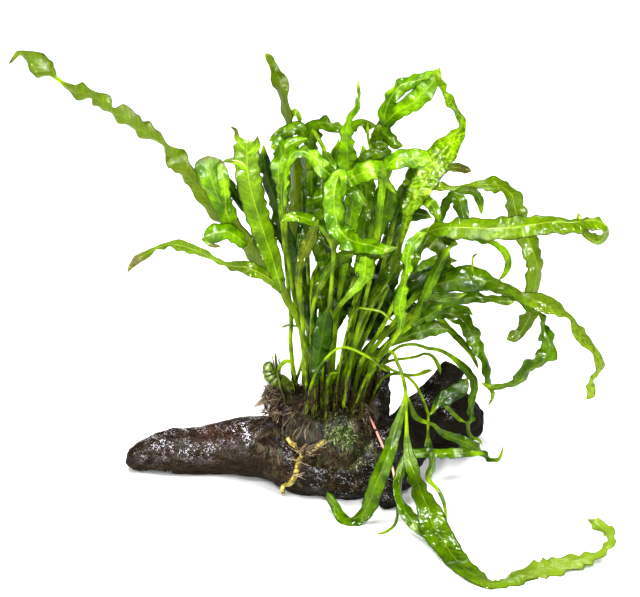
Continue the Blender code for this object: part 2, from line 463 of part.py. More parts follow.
def smooth_curve(knots, count):
    """Points evenly spaced along a Catmull-Rom curve through the knots (rows of numbers)."""
    rows = np.array(knots, dtype=float)
    ends = np.vstack([2 * rows[0] - rows[1], rows, 2 * rows[-1] - rows[-2]])
    dense = []
    for index in range(len(rows) - 1):
        p0, p1, p2, p3 = ends[index:index + 4]
        for t in np.linspace(0.0, 1.0, 12, endpoint=False):
            bend = (2 * p0 - 5 * p1 + 4 * p2 - p3) * t * t + (3 * p1 - p0 - 3 * p2 + p3) * t ** 3
            dense.append(0.5 * (2 * p1 + (p2 - p0) * t + bend))
    dense.append(rows[-1])
    dense = np.array(dense)
    steps = np.linalg.norm(np.diff(dense[:, :2], axis=0), axis=1)
    along = np.concatenate([[0.0], np.cumsum(steps)])
    wanted = np.linspace(0.0, along[-1], count)
    return np.column_stack([np.interp(wanted, along, column) for column in dense.T])


def route_length(route):
    """Length of a route as it is seen."""
    return sum(math.dist(low[:2], high[:2]) for low, high in zip(route, route[1:]))


def floor_back(up):
    """How far back a place in the view is when what shows there lies on the floor."""
    return (up - FLOOR_LIFT * math.cos(VIEW_TILT)) / math.sin(VIEW_TILT)


class Ribbon:
    """A lobe sampled along its smooth route, with its place, its turn and its widths."""

    def __init__(self, route, back, blade, twist, grip):
        count = max(4, round(route_length(route) / SETTLE_SPACING) + 1)
        rows = smooth_curve(route, count)
        share = np.linspace(0.0, 1.0, count)
        depth = np.interp(share, np.linspace(0.0, 1.0, len(back)), back)
        depth = relax_line(depth)
        seen = np.maximum(rows[:, 2], TIP_THICKNESS)
        along = SETTLE_SPACING * np.arange(count)
        leaf_start = along[np.argmax(seen > STALK_WIDTH)] if seen.max() > STALK_WIDTH else along[-1]
        taper = np.clip((along - leaf_start) / LEAF_RAMP, 0.0, 1.0)
        taper *= np.clip((along[-1] - along) / LEAF_RAMP, 0.0, 1.0)
        self.width = np.clip(blade * taper, seen, MOST_TURNED * seen)
        self.roll = twist * np.arccos(np.clip(seen / self.width, 0.0, 1.0))
        self.centre = []
        for (across, up, _), back_value in zip(rows, depth):
            self.centre.append(view_point(across, up, min(back_value, floor_back(up))))
        self.grip = grip
        self.parent = None
        self.shift = np.zeros(count)

    def frames(self):
        """Centre, tangent, blade direction, face direction, width and thickness at each sample."""
        points = [point + SIGHT * move for point, move in zip(self.centre, self.shift)]
        rows = []
        across = None
        for index, point in enumerate(points):
            before = points[max(index - 1, 0)]
            after = points[min(index + 1, len(points) - 1)]
            tangent = (after - before).normalized()
            flat = tangent.cross(SIGHT)
            if across is not None:
                carried = (across - tangent * across.dot(tangent)).normalized()
                flat = flat + carried * max(0.0, FORESHORTENED - flat.length)
                if flat.dot(carried) < 0.0 and flat.length < ALONG_SIGHT:
                    flat = carried
            across = flat.normalized()
            face = across.cross(tangent).normalized()
            turn = self.roll[index]
            side = across * math.cos(turn) + face * math.sin(turn)
            width = float(self.width[index])
            bend = abs((after - point).normalized().cross((point - before).normalized()).dot(face))
            if bend > SLIGHT_BEND:
                width = min(width, max(STALK_WIDTH / 2, BEND_ROOM * SETTLE_SPACING / bend))
            stalk = width < PETIOLE_THICKNESS * STALK_ROUNDNESS
            thick = min(width, PETIOLE_THICKNESS) if stalk else BLADE_THICKNESS
            rows.append((point, tangent, side, side.cross(tangent), width, thick))
        return rows


def relax_line(values):
    """A run of values with its corners eased."""
    eased = np.array(values, dtype=float)
    for _ in range(3):
        eased[1:-1] = 0.25 * eased[:-2] + 0.5 * eased[1:-1] + 0.25 * eased[2:]
    return eased


def nearest_sample(ribbons, across, up):
    """The ribbon and the sample on it that show nearest to a place in the view."""
    best = None
    for ribbon in ribbons:
        for index, point in enumerate(ribbon.centre):
            distance = math.hypot(point.x - across, seen_up(point) - up)
            if best is None or distance < best[0]:
                best = (distance, ribbon, index)
    return best[1], best[2]


def ribbons_of(frond):
    """The ribbons of one frond, each side lobe starting on the lobe that it grows from."""
    root_across, root_back = frond.root
    start = Vector((root_across, root_back, ROOT_HEIGHT))
    ribbons = []
    for lobe in frond.lobes:
        route = list(lobe.route)
        back = list(lobe.back)
        parent = None
        if not ribbons:
            route.insert(0, (root_across, seen_up(start), route[0][2]))
            back[0] = root_back
        else:
            parent, index = nearest_sample(ribbons, route[0][0], route[0][1])
            joint = parent.centre[index]
            route[0] = (joint.x, seen_up(joint), route[0][2])
            change = joint.y - back[0]
            near = max(1, len(back) // 2)
            for step in range(near):
                back[step] += change * (near - step) / near
        ribbon = Ribbon(route, back, lobe.blade, lobe.twist, ROOT_GRIP if parent is None else 0.0)
        if parent is not None:
            ribbon.parent = (parent, index)
        ribbons.append(ribbon)
    return ribbons


def spread(values):
    """A run of pushes shared out over the neighbouring samples."""
    padded = np.pad(values, len(SETTLE_REACH) // 2, mode="edge")
    return np.convolve(padded, SETTLE_REACH, mode="valid")


def settle(plant):
    """Part the fronds along the line of sight until none presses on another.

    What shows from in front stays where it is, because each sample only moves nearer or farther.
    """
    ribbons = [ribbon for frond_ribbons in plant for ribbon in frond_ribbons]
    owner = np.concatenate([[which] * len(r.centre) for which, rs in enumerate(plant) for r in rs])
    strip = np.concatenate([[which] * len(r.centre) for which, r in enumerate(ribbons)])
    spans = np.cumsum([0] + [len(r.centre) for r in ribbons])
    rows = [row for ribbon in ribbons for row in ribbon.frames()]
    place = np.array([(row[0].x, seen_up(row[0])) for row in rows])
    depth = np.array([row[0].dot(SIGHT) for row in rows])
    height = np.array([row[0].z for row in rows])
    reach = np.array([0.5 * math.hypot(row[4] * row[2].cross(SIGHT).length, SETTLE_SPACING) for row in rows])
    half = np.array([0.5 * (row[4] * abs(row[2].dot(SIGHT)) + row[5] * abs(row[3].dot(SIGHT))
                            + SETTLE_SPACING * abs(row[1].dot(SIGHT))) for row in rows])
    free = np.ones(len(rows))
    for ribbon, low, high in zip(ribbons, spans, spans[1:]):
        if ribbon.grip:
            along = np.linspace(0.0, SETTLE_SPACING * (high - low - 1), high - low)
            free[low:high] = np.clip(along / ribbon.grip - ROOT_FIXED_SHARE, 0.0, 1.0)
    free[height < LYING_HEIGHT] = 0.0
    apart = np.linalg.norm(place[:, None] - place[None], axis=2)
    near = (apart < reach[:, None] + reach[None]) & (owner[:, None] < owner[None])
    first, second = np.nonzero(near)
    need = half[first] + half[second] + SETTLE_GAP
    strips = strip[first] * len(ribbons) + strip[second]
    totals = np.bincount(strips, weights=depth[first] - depth[second], minlength=len(ribbons) ** 2)
    sign = np.where(totals[strips] >= 0.0, 1.0, -1.0)
    shift = np.zeros(len(rows))
    for _ in range(SETTLE_ROUNDS):
        now = depth + shift
        press = np.clip(need - sign * (now[first] - now[second]), 0.0, None)
        touched = np.bincount(first, press > 0, len(rows)) + np.bincount(second, press > 0, len(rows))
        push = np.bincount(first, sign * press, len(rows)) - np.bincount(second, sign * press, len(rows))
        push = 0.5 * push / np.maximum(touched, 1.0)
        for ribbon, low, high in zip(ribbons, spans, spans[1:]):
            shift[low:high] += SETTLE_PUSH * spread(push[low:high]) * free[low:high]
            ribbon.shift = shift[low:high]
            if ribbon.parent is not None:
                parent, index = ribbon.parent
                follow = parent.shift[index] - shift[low]
                fade = np.clip(1.0 - np.arange(high - low) / FOLLOW_SAMPLES, 0.0, 1.0)
                shift[low:high] += follow * fade
    for ribbon, low, high in zip(ribbons, spans, spans[1:]):
        ribbon.shift = shift[low:high].copy()


# --- Solids -------------------------------------------------------------------------------------

def placing(centre, side, face, tangent, half_width, half_thick):
    """The matrix that puts a unit circle at a station of a ribbon or a limb."""
    turned = Matrix((side * half_width, face * half_thick, tangent)).transposed()
    return Matrix.Translation(centre) @ turned.to_4x4()


def loft(matrices, sides):
    """Skin a closed body through stations: a circle extruded from each one to the next."""
    body = bmesh.new()
    bmesh.ops.create_circle(body, cap_ends=True, segments=sides, radius=1.0, matrix=matrices[0])
    cap = body.faces[:][0]
    edges = list(cap.edges)
    for low, high in zip(matrices, matrices[1:]):
        grown = bmesh.ops.extrude_edge_only(body, edges=edges)["geom"]
        points = [item for item in grown if isinstance(item, bmesh.types.BMVert)]
        edges = [item for item in grown if isinstance(item, bmesh.types.BMEdge)
                 and item.verts[0] in points and item.verts[1] in points]
        bmesh.ops.transform(body, matrix=high @ low.inverted(), verts=points)
    bmesh.ops.edgeloop_fill(body, edges=edges)
    bmesh.ops.recalc_face_normals(body, faces=body.faces[:])
    return body


def add_node(name, body, colour, roughness=WET):
    """Turn a bmesh into a named object with its own material, still in millimetres."""
    bmesh.ops.triangulate(body, faces=body.faces[:])
    mesh = bpy.data.meshes.new(name)
    body.to_mesh(mesh)
    body.free()
    node = bpy.data.objects.new(name, mesh)
    bpy.context.scene.collection.objects.link(node)
    material = bpy.data.materials.new(name)
    material.use_nodes = True
    shader = material.node_tree.nodes["Principled BSDF"]
    shader.inputs["Base Color"].default_value = (*colour, 1.0)
    shader.inputs["Roughness"].default_value = roughness
    shader.inputs["Metallic"].default_value = 0.0
    mesh.materials.append(material)
    return node


def measured(mesh):
    """Cut a mesh into triangles; give its volume and whether every edge joins two faces."""
    body = bmesh.new()
    body.from_mesh(mesh)
    bmesh.ops.triangulate(body, faces=body.faces[:])
    body.to_mesh(mesh)
    closed = bool(body.edges) and all(len(edge.link_faces) == 2 for edge in body.edges)
    volume = body.calc_volume()
    body.free()
    return volume, closed


def drop_crumbs(mesh):
    """Keep only the largest body of a mesh, without the splinters that a cut leaves beside it."""
    body = bmesh.new()
    body.from_mesh(mesh)
    unseen = set(body.verts)
    islands = []
    while unseen:
        island = [unseen.pop()]
        for vert in island:
            for edge in vert.link_edges:
                other = edge.other_vert(vert)
                if other in unseen:
                    unseen.discard(other)
                    island.append(other)
        islands.append(island)
    islands.sort(key=len)
    for island in islands[:-1]:
        bmesh.ops.delete(body, geom=island, context="VERTS")
    body.to_mesh(mesh)
    body.free()


def touching(node, other):
    """Whether the surfaces of two bodies cross."""
    graph = bpy.context.evaluated_depsgraph_get()
    return bool(BVHTree.FromObject(node, graph).overlap(BVHTree.FromObject(other, graph)))


def combine(node, others, operation):
    """Join other bodies to a node, or cut them from it, one Boolean at a time.

    Where a thin ribbon nearly meets itself, an exact cut can lose faces. A result that isn't
    closed, or has a volume that can't be, is made again by the other way of cutting.
    """
    for other in others:
        if not touching(node, other):
            continue
        before = measured(node.data)[0]
        if operation == "UNION":
            least = before * (1.0 - VOLUME_SLACK)
            most = (before + measured(other.data)[0]) * (1.0 + VOLUME_SLACK)
        else:
            least = before * LEAST_LEFT
            most = before * (1.0 - CUT_SLACK)
        results = []
        for solver in ("EXACT", "MANIFOLD"):
            cut = node.modifiers.new(operation, "BOOLEAN")
            cut.operation = operation
            cut.solver = solver
            cut.object = other
            bpy.context.view_layer.update()
            shape = node.evaluated_get(bpy.context.evaluated_depsgraph_get())
            mesh = bpy.data.meshes.new_from_object(shape)
            node.modifiers.clear()
            volume, closed = measured(mesh)
            results.append(mesh)
            if closed and least <= volume <= most:
                break
        old = node.data
        node.data = results.pop()
        drop_crumbs(node.data)
        node.data.name = node.name
        for mesh in results + [old]:
            bpy.data.meshes.remove(mesh)
    return node


def remove(objects):
    """Remove helper bodies that only served to cut."""
    for item in objects:
        bpy.data.objects.remove(item, do_unlink=True)


def swollen(node, distance):
    """A copy of a node grown outwards by a distance, to cut its neighbours clear of it."""
    body = bmesh.new()
    body.from_mesh(node.data)
    bmesh.ops.remove_doubles(body, verts=body.verts[:], dist=MERGE_DISTANCE)
    body.normal_update()
    moves = [(vert, vert.normal * vert.calc_shell_factor() * distance) for vert in body.verts]
    for vert, move in moves:
        vert.co += move
    mesh = bpy.data.meshes.new("guide")
    body.to_mesh(mesh)
    body.free()
    guide = bpy.data.objects.new("guide_" + node.name, mesh)
    guide.hide_render = True
    guide.display_type = "WIRE"
    bpy.context.scene.collection.objects.link(guide)
    return guide


def limb_body(rings, sides, lumps):
    """A stretch of lumpy wood through rings of (across, back, height, radius), cut at the floor."""
    centres = [Vector(ring[:3]) for ring in rings]
    matrices = []
    for index, (centre, ring) in enumerate(zip(centres, rings)):
        before = centres[max(index - 1, 0)]
        after = centres[min(index + 1, len(centres) - 1)]
        tangent = (after - before).normalized()
        side = tangent.cross(Vector((0.0, 0.0, 1.0)))
        if side.length < STEEP:
            side = tangent.cross(Vector((0.0, 1.0, 0.0)))
        side.normalize()
        matrices.append(placing(centre, side, side.cross(tangent), tangent, ring[3], ring[3]))
    body = loft(matrices, sides)
    body.normal_update()
    for vert in body.verts:
        vert.co += vert.normal * lumps * noise.noise(vert.co * WOOD_LUMP_RATE)
    floor = bmesh.ops.bisect_plane(body, geom=body.verts[:] + body.edges[:] + body.faces[:],
                                   plane_co=(0, 0, 0), plane_no=(0, 0, 1), clear_inner=True)
    rim = [item for item in floor["geom_cut"] if isinstance(item, bmesh.types.BMEdge)]
    if rim:
        bmesh.ops.holes_fill(body, edges=rim, sides=0)
    bmesh.ops.recalc_face_normals(body, faces=body.faces[:])
    return body


def build_wood():
    """The driftwood and the band round it, each piece of wood cut clear of those before it."""
    trunk = add_node("wood_trunk", limb_body(TRUNK_RINGS, WOOD_SIDES, TRUNK_LUMPS), WOOD_COLOUR)
    pieces = [
        ("wood_left_arm", LEFT_ARM_RINGS, ARM_LUMPS),
        ("wood_right_limb", RIGHT_LIMB_RINGS, LIMB_LUMPS),
        ("wood_right_prong", RIGHT_PRONG_RINGS, LIMB_LUMPS),
        ("wood_rear_stump", REAR_STUMP_RINGS, LIMB_LUMPS),
        ("wood_front_foot", FRONT_FOOT_RINGS, LIMB_LUMPS),
    ]
    tie = build_tie(trunk)
    done = [trunk]
    for name, rings, lumps in pieces:
        node = add_node(name, limb_body(rings, WOOD_SIDES, lumps), WOOD_COLOUR)
        if name == "wood_front_foot":
            knob = add_node("knob", limb_body(FOOT_KNOB_RINGS, KNOB_SIDES, KNOB_LUMPS), WOOD_COLOUR)
            combine(node, [knob], "UNION")
            remove([knob])
        guides = [swollen(other, PIECE_GAP) for other in done + [tie]]
        combine(node, guides, "DIFFERENCE")
        remove(guides)
        done.append(node)
    return done, tie


def build_tie(trunk):
    """The pink band: a closed loop laid round the trunk, leaning as it does in the view."""
    tree = BVHTree.FromObject(trunk, bpy.context.evaluated_depsgraph_get())
    lean = math.atan2(TIE_LOW_ACROSS - TIE_TOP_ACROSS, TIE_LEANS_OVER)
    middle = Vector((0.5 * (TIE_TOP_ACROSS + TIE_LOW_ACROSS), TIE_CENTRE_BACK, TIE_CENTRE_HEIGHT))
    loop = []
    for step in range(TIE_SEGMENTS):
        angle = 2.0 * math.pi * step / TIE_SEGMENTS
        out = Vector((-math.sin(lean) * math.sin(angle), math.cos(angle), math.cos(lean) * math.sin(angle)))
        hit = tree.ray_cast(middle + out * OUTSIDE, -out)[0]
        loop.append(hit + out * TIE_STANDOFF)
    matrices = []
    for index, point in enumerate(loop):
        ahead = loop[(index + 1) % TIE_SEGMENTS] - loop[index - 1]
        tangent = ahead.normalized()
        out = (point - middle)
        out = (out - tangent * out.dot(tangent)).normalized()
        side = out.cross(tangent)
        matrices.append(placing(point, side, out, tangent, TIE_WIDTH / 2, TIE_THICKNESS / 2))
    body = loft(matrices, BLADE_SIDES)
    ends = [face for face in body.faces if face_is_end(face, matrices)]
    rims = [edge for face in ends for edge in face.edges]
    bmesh.ops.delete(body, geom=ends, context="FACES_ONLY")
    bmesh.ops.bridge_loops(body, edges=rims)
    bmesh.ops.recalc_face_normals(body, faces=body.faces[:])
    return add_node("tie_band", body, TIE_COLOUR)


def face_is_end(face, matrices):
    """Whether a face caps the first or the last station of a loft."""
    centre = face.calc_center_median()
    ends = (matrices[0].translation, matrices[-1].translation)
    return min((centre - end).length for end in ends) < MERGE_DISTANCE


def build_mat(neighbours):
    """The clump of roots: a lumpy saddle over the trunk, cut clear of the wood and of the tie."""
    matrices = []
    for across, back, height, half_depth, half_height in MAT_RINGS:
        matrices.append(placing(Vector((across, back, height)), Vector((0, 1, 0)), Vector((0, 0, 1)),
                                Vector((1, 0, 0)), half_depth, half_height))
    body = loft(matrices, MAT_SIDES)
    body.normal_update()
    for vert in body.verts:
        vert.co += vert.normal * MAT_LUMPS * noise.noise(vert.co * MAT_LUMP_RATE)
    mat = add_node("root_mat", body, ROOT_COLOUR, MATT)
    guides = [swollen(piece, MAT_GAP) for piece in neighbours]
    combine(mat, guides, "DIFFERENCE")
    remove(guides)
    return mat


def ribbon_body(ribbon):
    """The faceted solid of one ribbon."""
    rows = ribbon.frames()
    matrices = []
    due = 1.0
    for index, (point, tangent, side, face, width, thick) in enumerate(rows):
        if index:
            before = rows[index - 1]
            turned = tangent.angle(before[1]) + TWIST_SHARE * side.angle(before[2])
            due += (point - before[0]).length / STATION_SPACING + turned / STATION_TURN
        if due >= 1.0 or index == len(rows) - 1:
            matrices.append(placing(point, side, face, tangent, width / 2, thick / 2))
            due = 0.0
    return loft(matrices, BLADE_SIDES)


def build_frond(frond, ribbons, mat_guide):
    """One frond: its lobes joined to its petiole, and cut where it leaves the root mat."""
    bodies = [add_node(frond.name, ribbon_body(ribbon), frond.colour) for ribbon in ribbons]
    node = bodies[0]
    if len(bodies) > 1:
        combine(node, bodies[1:], "UNION")
        remove(bodies[1:])
    combine(node, [mat_guide], "DIFFERENCE")


def lies_before(tree, across, up, standoff, hangs_at=0.0):
    """The point that shows at a place and stands off what is behind it, or hangs at a depth."""
    start = view_point(across, up, 0.0) - SIGHT * OUTSIDE
    hit = tree.ray_cast(start, SIGHT)[0]
    if hit is None:
        return view_point(across, up, min(hangs_at, floor_back(up)))
    return hit - SIGHT * standoff


def tube(points, widths, sides=STEM_SIDES):
    """A round stem through points."""
    matrices = []
    for index, point in enumerate(points):
        before = points[max(index - 1, 0)]
        after = points[min(index + 1, len(points) - 1)]
        tangent = (after - before).normalized()
        side = tangent.cross(SIGHT).normalized()
        radius = widths[index] / 2
        matrices.append(placing(point, side, side.cross(tangent), tangent, radius, radius))
    return loft(matrices, sides)


def build_base(mat, wood, mat_guide):
    """The rhizome, the runner, the loose root and the moss on the mat."""
    depth = np.interp(np.linspace(0, 1, len(RHIZOME_ROUTE)), np.linspace(0, 1, 3), RHIZOME_BACK)
    points = [view_point(a, u, y) for (a, u, _), y in zip(RHIZOME_ROUTE, depth)]
    rhizome = add_node("rhizome", tube(points, [row[2] for row in RHIZOME_ROUTE], RHIZOME_SIDES), MID_LEAF)
    combine(rhizome, [mat_guide], "DIFFERENCE")
    depth = np.interp(np.linspace(0, 1, len(ROOT_TAIL)), np.linspace(0, 1, 3), ROOT_TAIL_BACK)
    points = [view_point(a, u, y) for (a, u, _), y in zip(ROOT_TAIL, depth)]
    tail = add_node("root_tail", tube(points, [row[2] for row in ROOT_TAIL]), ROOT_COLOUR, MATT)
    combine(tail, [mat_guide], "DIFFERENCE")
    ground = bmesh.new()
    for piece in [mat] + wood:
        ground.from_mesh(piece.data)
    tree = BVHTree.FromBMesh(ground)
    ground.free()
    runs = []
    for route in (RUNNER_ROUTE, RUNNER_SIDE_ROUTE):
        points = [lies_before(tree, a, u, RUNNER_STANDOFF + w / 2, RUNNER_HANGS_AT) for a, u, w in route]
        runs.append(add_node("rhizome_runner", tube(points, [row[2] for row in route]), RUNNER_COLOUR))
    combine(runs[0], runs[1:], "UNION")
    remove(runs[1:])
    trunk_guide = swollen(wood[0], PIECE_GAP)
    combine(runs[0], [mat_guide, trunk_guide], "DIFFERENCE")
    moss = bmesh.new()
    centre = lies_before(tree, *MOSS_CENTRE, 0.0)
    bmesh.ops.create_icosphere(moss, subdivisions=2, radius=1.0)
    bmesh.ops.transform(moss, verts=moss.verts[:], matrix=placing(
        centre, Vector((1, 0, 0)), RISE, -SIGHT, MOSS_SIZE[0], MOSS_SIZE[1]))
    for vert in moss.verts:
        away = (vert.co - centre).dot(SIGHT)
        vert.co += SIGHT * away * (MOSS_SIZE[2] - 1.0)
    tuft = add_node("moss_tuft", moss, MOSS_COLOUR, MATT)
    combine(tuft, [mat_guide, trunk_guide], "DIFFERENCE")
    remove([trunk_guide])


def main():
    """Build the wood, then the plant on it, and bring all of it to metres."""
    for item in list(bpy.data.objects):
        bpy.data.objects.remove(item, do_unlink=True)
    wood, tie = build_wood()
    trunk, left_arm, stump = wood[0], wood[1], wood[4]
    mat = build_mat([trunk, left_arm, stump, tie])
    mat_guide = swollen(mat, PIECE_GAP)
    plant = [ribbons_of(frond) for frond in FRONDS]
    settle(plant)
    for frond, ribbons in zip(FRONDS, plant):
        build_frond(frond, ribbons, mat_guide)
    build_base(mat, wood, mat_guide)
    remove([mat_guide])
    for node in bpy.data.objects:
        node.data.transform(Matrix.Scale(MM, 4))


main()
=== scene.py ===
"""Java fern on driftwood: the fine shape and the wet finish of every piece.

The plant is laid out as it is seen from in front and a little above. A place in that view is
given in millimetres across (right of the origin) and up (in the picture plane); a third value,
back, is the distance behind the origin, away from the viewer. The origin lies under the trunk,
on the flat that the wood stands on. Lengths are in millimetres until a piece is placed.
"""

import json
import logging
import math
from dataclasses import dataclass
from enum import Enum

import bmesh
import bpy
import numpy as np
from mathutils import Matrix, Vector, noise
from mathutils.bvhtree import BVHTree

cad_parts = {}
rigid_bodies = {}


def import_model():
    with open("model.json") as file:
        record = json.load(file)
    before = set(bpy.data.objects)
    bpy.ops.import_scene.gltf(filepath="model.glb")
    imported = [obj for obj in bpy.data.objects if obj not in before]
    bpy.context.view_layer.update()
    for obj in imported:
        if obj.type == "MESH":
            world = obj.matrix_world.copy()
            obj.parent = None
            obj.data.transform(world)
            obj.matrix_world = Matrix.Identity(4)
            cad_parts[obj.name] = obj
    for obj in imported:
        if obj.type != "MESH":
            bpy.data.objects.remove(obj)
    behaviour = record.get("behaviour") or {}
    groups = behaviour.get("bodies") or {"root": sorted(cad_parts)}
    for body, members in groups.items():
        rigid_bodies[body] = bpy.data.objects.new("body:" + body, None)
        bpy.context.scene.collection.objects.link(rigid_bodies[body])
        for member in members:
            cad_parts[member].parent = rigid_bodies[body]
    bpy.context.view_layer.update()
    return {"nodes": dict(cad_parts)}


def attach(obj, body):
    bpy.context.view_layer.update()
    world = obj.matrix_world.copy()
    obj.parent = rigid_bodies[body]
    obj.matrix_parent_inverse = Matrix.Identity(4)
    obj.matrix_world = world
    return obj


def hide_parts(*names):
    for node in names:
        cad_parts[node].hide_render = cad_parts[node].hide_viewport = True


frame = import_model()

log = logging.getLogger("fern")

MM = 0.001
VIEW_TILT = math.radians(25.0)
ACROSS = Vector((1.0, 0.0, 0.0))
BACKWARDS = Vector((0.0, 1.0, 0.0))
UPRIGHT = Vector((0.0, 0.0, 1.0))
SIGHT = Vector((0.0, math.cos(VIEW_TILT), -math.sin(VIEW_TILT)))
RISE = Vector((0.0, math.sin(VIEW_TILT), math.cos(VIEW_TILT)))
OUTSIDE = 300.0
FLOOR_LIFT = 1.3

# The numbers of the sockets of a colour Mix node: its two colours and its result.
MIX_A = 6
MIX_B = 7
MIX_RESULT = 2


# --- Small helpers ------------------------------------------------------------------------------

def linear(hex_colour: str) -> tuple[float, float, float, float]:
    """Turn an sRGB hex colour to the linear colour that a shader takes.

    Args:
        hex_colour: six hex digits after a #.

    Returns:
        Red, green, blue and an alpha of 1.
    """
    parts = [int(hex_colour[place:place + 2], 16) / 255.0 for place in (1, 3, 5)]
    parts = [part / 12.92 if part <= 0.04045 else ((part + 0.055) / 1.055) ** 2.4 for part in parts]
    return (*parts, 1.0)


def add_node(tree: bpy.types.NodeTree, kind: str, inputs: dict | tuple = (), **settings) -> bpy.types.Node:
    """Add a shader node with its settings and its links.

    Args:
        tree: the node tree of the material.
        kind: the node's type, without the leading ShaderNode.
        inputs: what the inputs get, in order or by name or number: a node or a socket to link,
            an sRGB hex colour or a plain value.
        **settings: the node's own properties.

    Returns:
        The new node.
    """
    node = tree.nodes.new("ShaderNode" + kind)
    for name, value in settings.items():
        setattr(node, name, value)
    for key, value in inputs.items() if isinstance(inputs, dict) else enumerate(inputs):
        if isinstance(value, bpy.types.Node):
            value = value.outputs[MIX_RESULT if value.bl_idname == "ShaderNodeMix" else 0]
        if isinstance(value, bpy.types.NodeSocket):
            tree.links.new(value, node.inputs[key])
        else:
            node.inputs[key].default_value = linear(value) if isinstance(value, str) else value
    return node


def blank_material(name: str) -> tuple[bpy.types.Material, bpy.types.NodeTree]:
    """Make a material with an empty node tree.

    Args:
        name: the common name of the real stuff.

    Returns:
        The material and its node tree.
    """
    material = bpy.data.materials.new(name)
    material.use_nodes = True
    material.node_tree.nodes.clear()
    return material, material.node_tree


def view_point(across: float, up: float, back: float) -> Vector:
    """Find the point in space that shows at a place in the view and lies at a depth."""
    return Vector((across, back, (up - back * math.sin(VIEW_TILT)) / math.cos(VIEW_TILT)))


def seen_up(point: Vector) -> float:
    """Say how far up the picture plane a point shows."""
    return point.dot(RISE)


def floor_back(up: float) -> float:
    """Say how far back a place in the view is when what shows there lies on the floor."""
    return (up - FLOOR_LIFT * math.cos(VIEW_TILT)) / math.sin(VIEW_TILT)


def distances(points: np.ndarray) -> np.ndarray:
    """Measure how far along a line each of its points is."""
    return np.concatenate([[0.0], np.cumsum(np.linalg.norm(np.diff(points, axis=0), axis=1))])


def spaced(rows: np.ndarray, along: np.ndarray, count: int) -> np.ndarray:
    """Read a table again at a count of even steps along the line that it follows."""
    wanted = np.linspace(0.0, along[-1], count)
    return np.column_stack([np.interp(wanted, along, column) for column in rows.T])


def resampled(values: list, count: int) -> np.ndarray:
    """Read a run of values again at a count of even steps."""
    return np.interp(np.linspace(0.0, 1.0, count), np.linspace(0.0, 1.0, len(values)), values)


def catmull_rom(knots: list, t: float) -> np.ndarray:
    """Find the place on a Catmull-Rom curve between the middle two of four knots.

    Args:
        knots: the four knots, each a row or a table of rows.
        t: how far along from the second knot to the third, from 0 to 1.

    Returns:
        The place.
    """
    p0, p1, p2, p3 = knots
    bend = (2 * p0 - 5 * p1 + 4 * p2 - p3) * t * t + (3 * p1 - p0 - 3 * p2 + p3) * t ** 3
    return 0.5 * (2 * p1 + (p2 - p0) * t + bend)


def with_ends(rows: np.ndarray) -> np.ndarray:
    """Carry a table on by a row at each end, for the curve through its rows."""
    return np.vstack([2 * rows[0] - rows[1], rows, 2 * rows[-1] - rows[-2]])


def smooth_curve(knots: list, count: int) -> np.ndarray:
    """Space points evenly along a Catmull-Rom curve through the knots.

    Args:
        knots: rows of numbers, of which the first two are a place in the view.
        count: how many points to give.

    Returns:
        One row for each point.
    """
    rows = np.array(knots, dtype=float)
    ends = with_ends(rows)
    dense = [catmull_rom(ends[index:index + 4], t) for index in range(len(rows) - 1)
             for t in np.linspace(0.0, 1.0, 12, endpoint=False)]
    dense = np.array([*dense, rows[-1]])
    return spaced(dense, distances(dense[:, :2]), count)


def refine(rows: np.ndarray, step: float) -> np.ndarray:
    """Put more rows between the rows of a table, along Catmull-Rom curves.

    Args:
        rows: one row for each sample.
        step: the distance between the new rows, in samples.

    Returns:
        The finer table, from the first sample to the last.
    """
    ends = with_ends(rows)
    places = np.linspace(0.0, len(rows) - 1.0, max(2, round((len(rows) - 1) / step) + 1))
    low = np.minimum(places.astype(int), len(rows) - 2)
    return catmull_rom([ends[low + shift] for shift in range(4)], (places - low)[:, None])


def smooth_step(values: np.ndarray, low: float, high: float) -> np.ndarray:
    """Rise smoothly from 0 to 1 as the values go from one level to another."""
    share = np.clip((values - low) / (high - low), 0.0, 1.0)
    return share * share * (3.0 - 2.0 * share)


def wander(seed: float, places: np.ndarray, size: float) -> np.ndarray:
    """Give smooth random values along a line, between about -1 and 1.

    Args:
        seed: tells one line from another.
        places: distances along the line, in millimetres.
        size: how far apart the swells are, in millimetres.

    Returns:
        One value for each place.
    """
    return np.array([2.0 * noise.noise(Vector((place / size, seed * 7.31, seed * 1.7))) for place in places])


def heading_at(points: list[Vector], index: int) -> Vector:
    """Say which way a line runs at one of its points."""
    return (points[min(index + 1, len(points) - 1)] - points[max(index - 1, 0)]).normalized()


def placing(centre: Vector, side: Vector, face: Vector, tangent: Vector,
            half_width: float, half_thick: float) -> Matrix:
    """Make the matrix that puts a unit circle at a station of a stem or a limb.

    Args:
        centre: the middle of the station.
        side: the direction of its width.
        face: the direction of its thickness.
        tangent: the direction that the piece runs in.
        half_width: half its width.
        half_thick: half its thickness.

    Returns:
        The matrix.
    """
    turned = Matrix((side * half_width, face * half_thick, tangent)).transposed()
    return Matrix.Translation(centre) @ turned.to_4x4()


def loft(matrices: list[Matrix], sides: int) -> bmesh.types.BMesh:
    """Skin a closed body through stations: a circle extruded from each one to the next.

    Args:
        matrices: the place of each station.
        sides: how many sides the body has.

    Returns:
        The body.
    """
    body = bmesh.new()
    bmesh.ops.create_circle(body, cap_ends=True, segments=sides, radius=1.0, matrix=matrices[0])
    edges = body.edges[:]
    for low, high in zip(matrices, matrices[1:]):
        grown = bmesh.ops.extrude_edge_only(body, edges=edges)["geom"]
        points = [item for item in grown if isinstance(item, bmesh.types.BMVert)]
        known = set(points)
        edges = [item for item in grown
                 if isinstance(item, bmesh.types.BMEdge) and known.issuperset(item.verts)]
        bmesh.ops.transform(body, matrix=high @ low.inverted(), verts=points)
    bmesh.ops.edgeloop_fill(body, edges=edges)
    bmesh.ops.recalc_face_normals(body, faces=body.faces[:])
    body.normal_update()
    return body


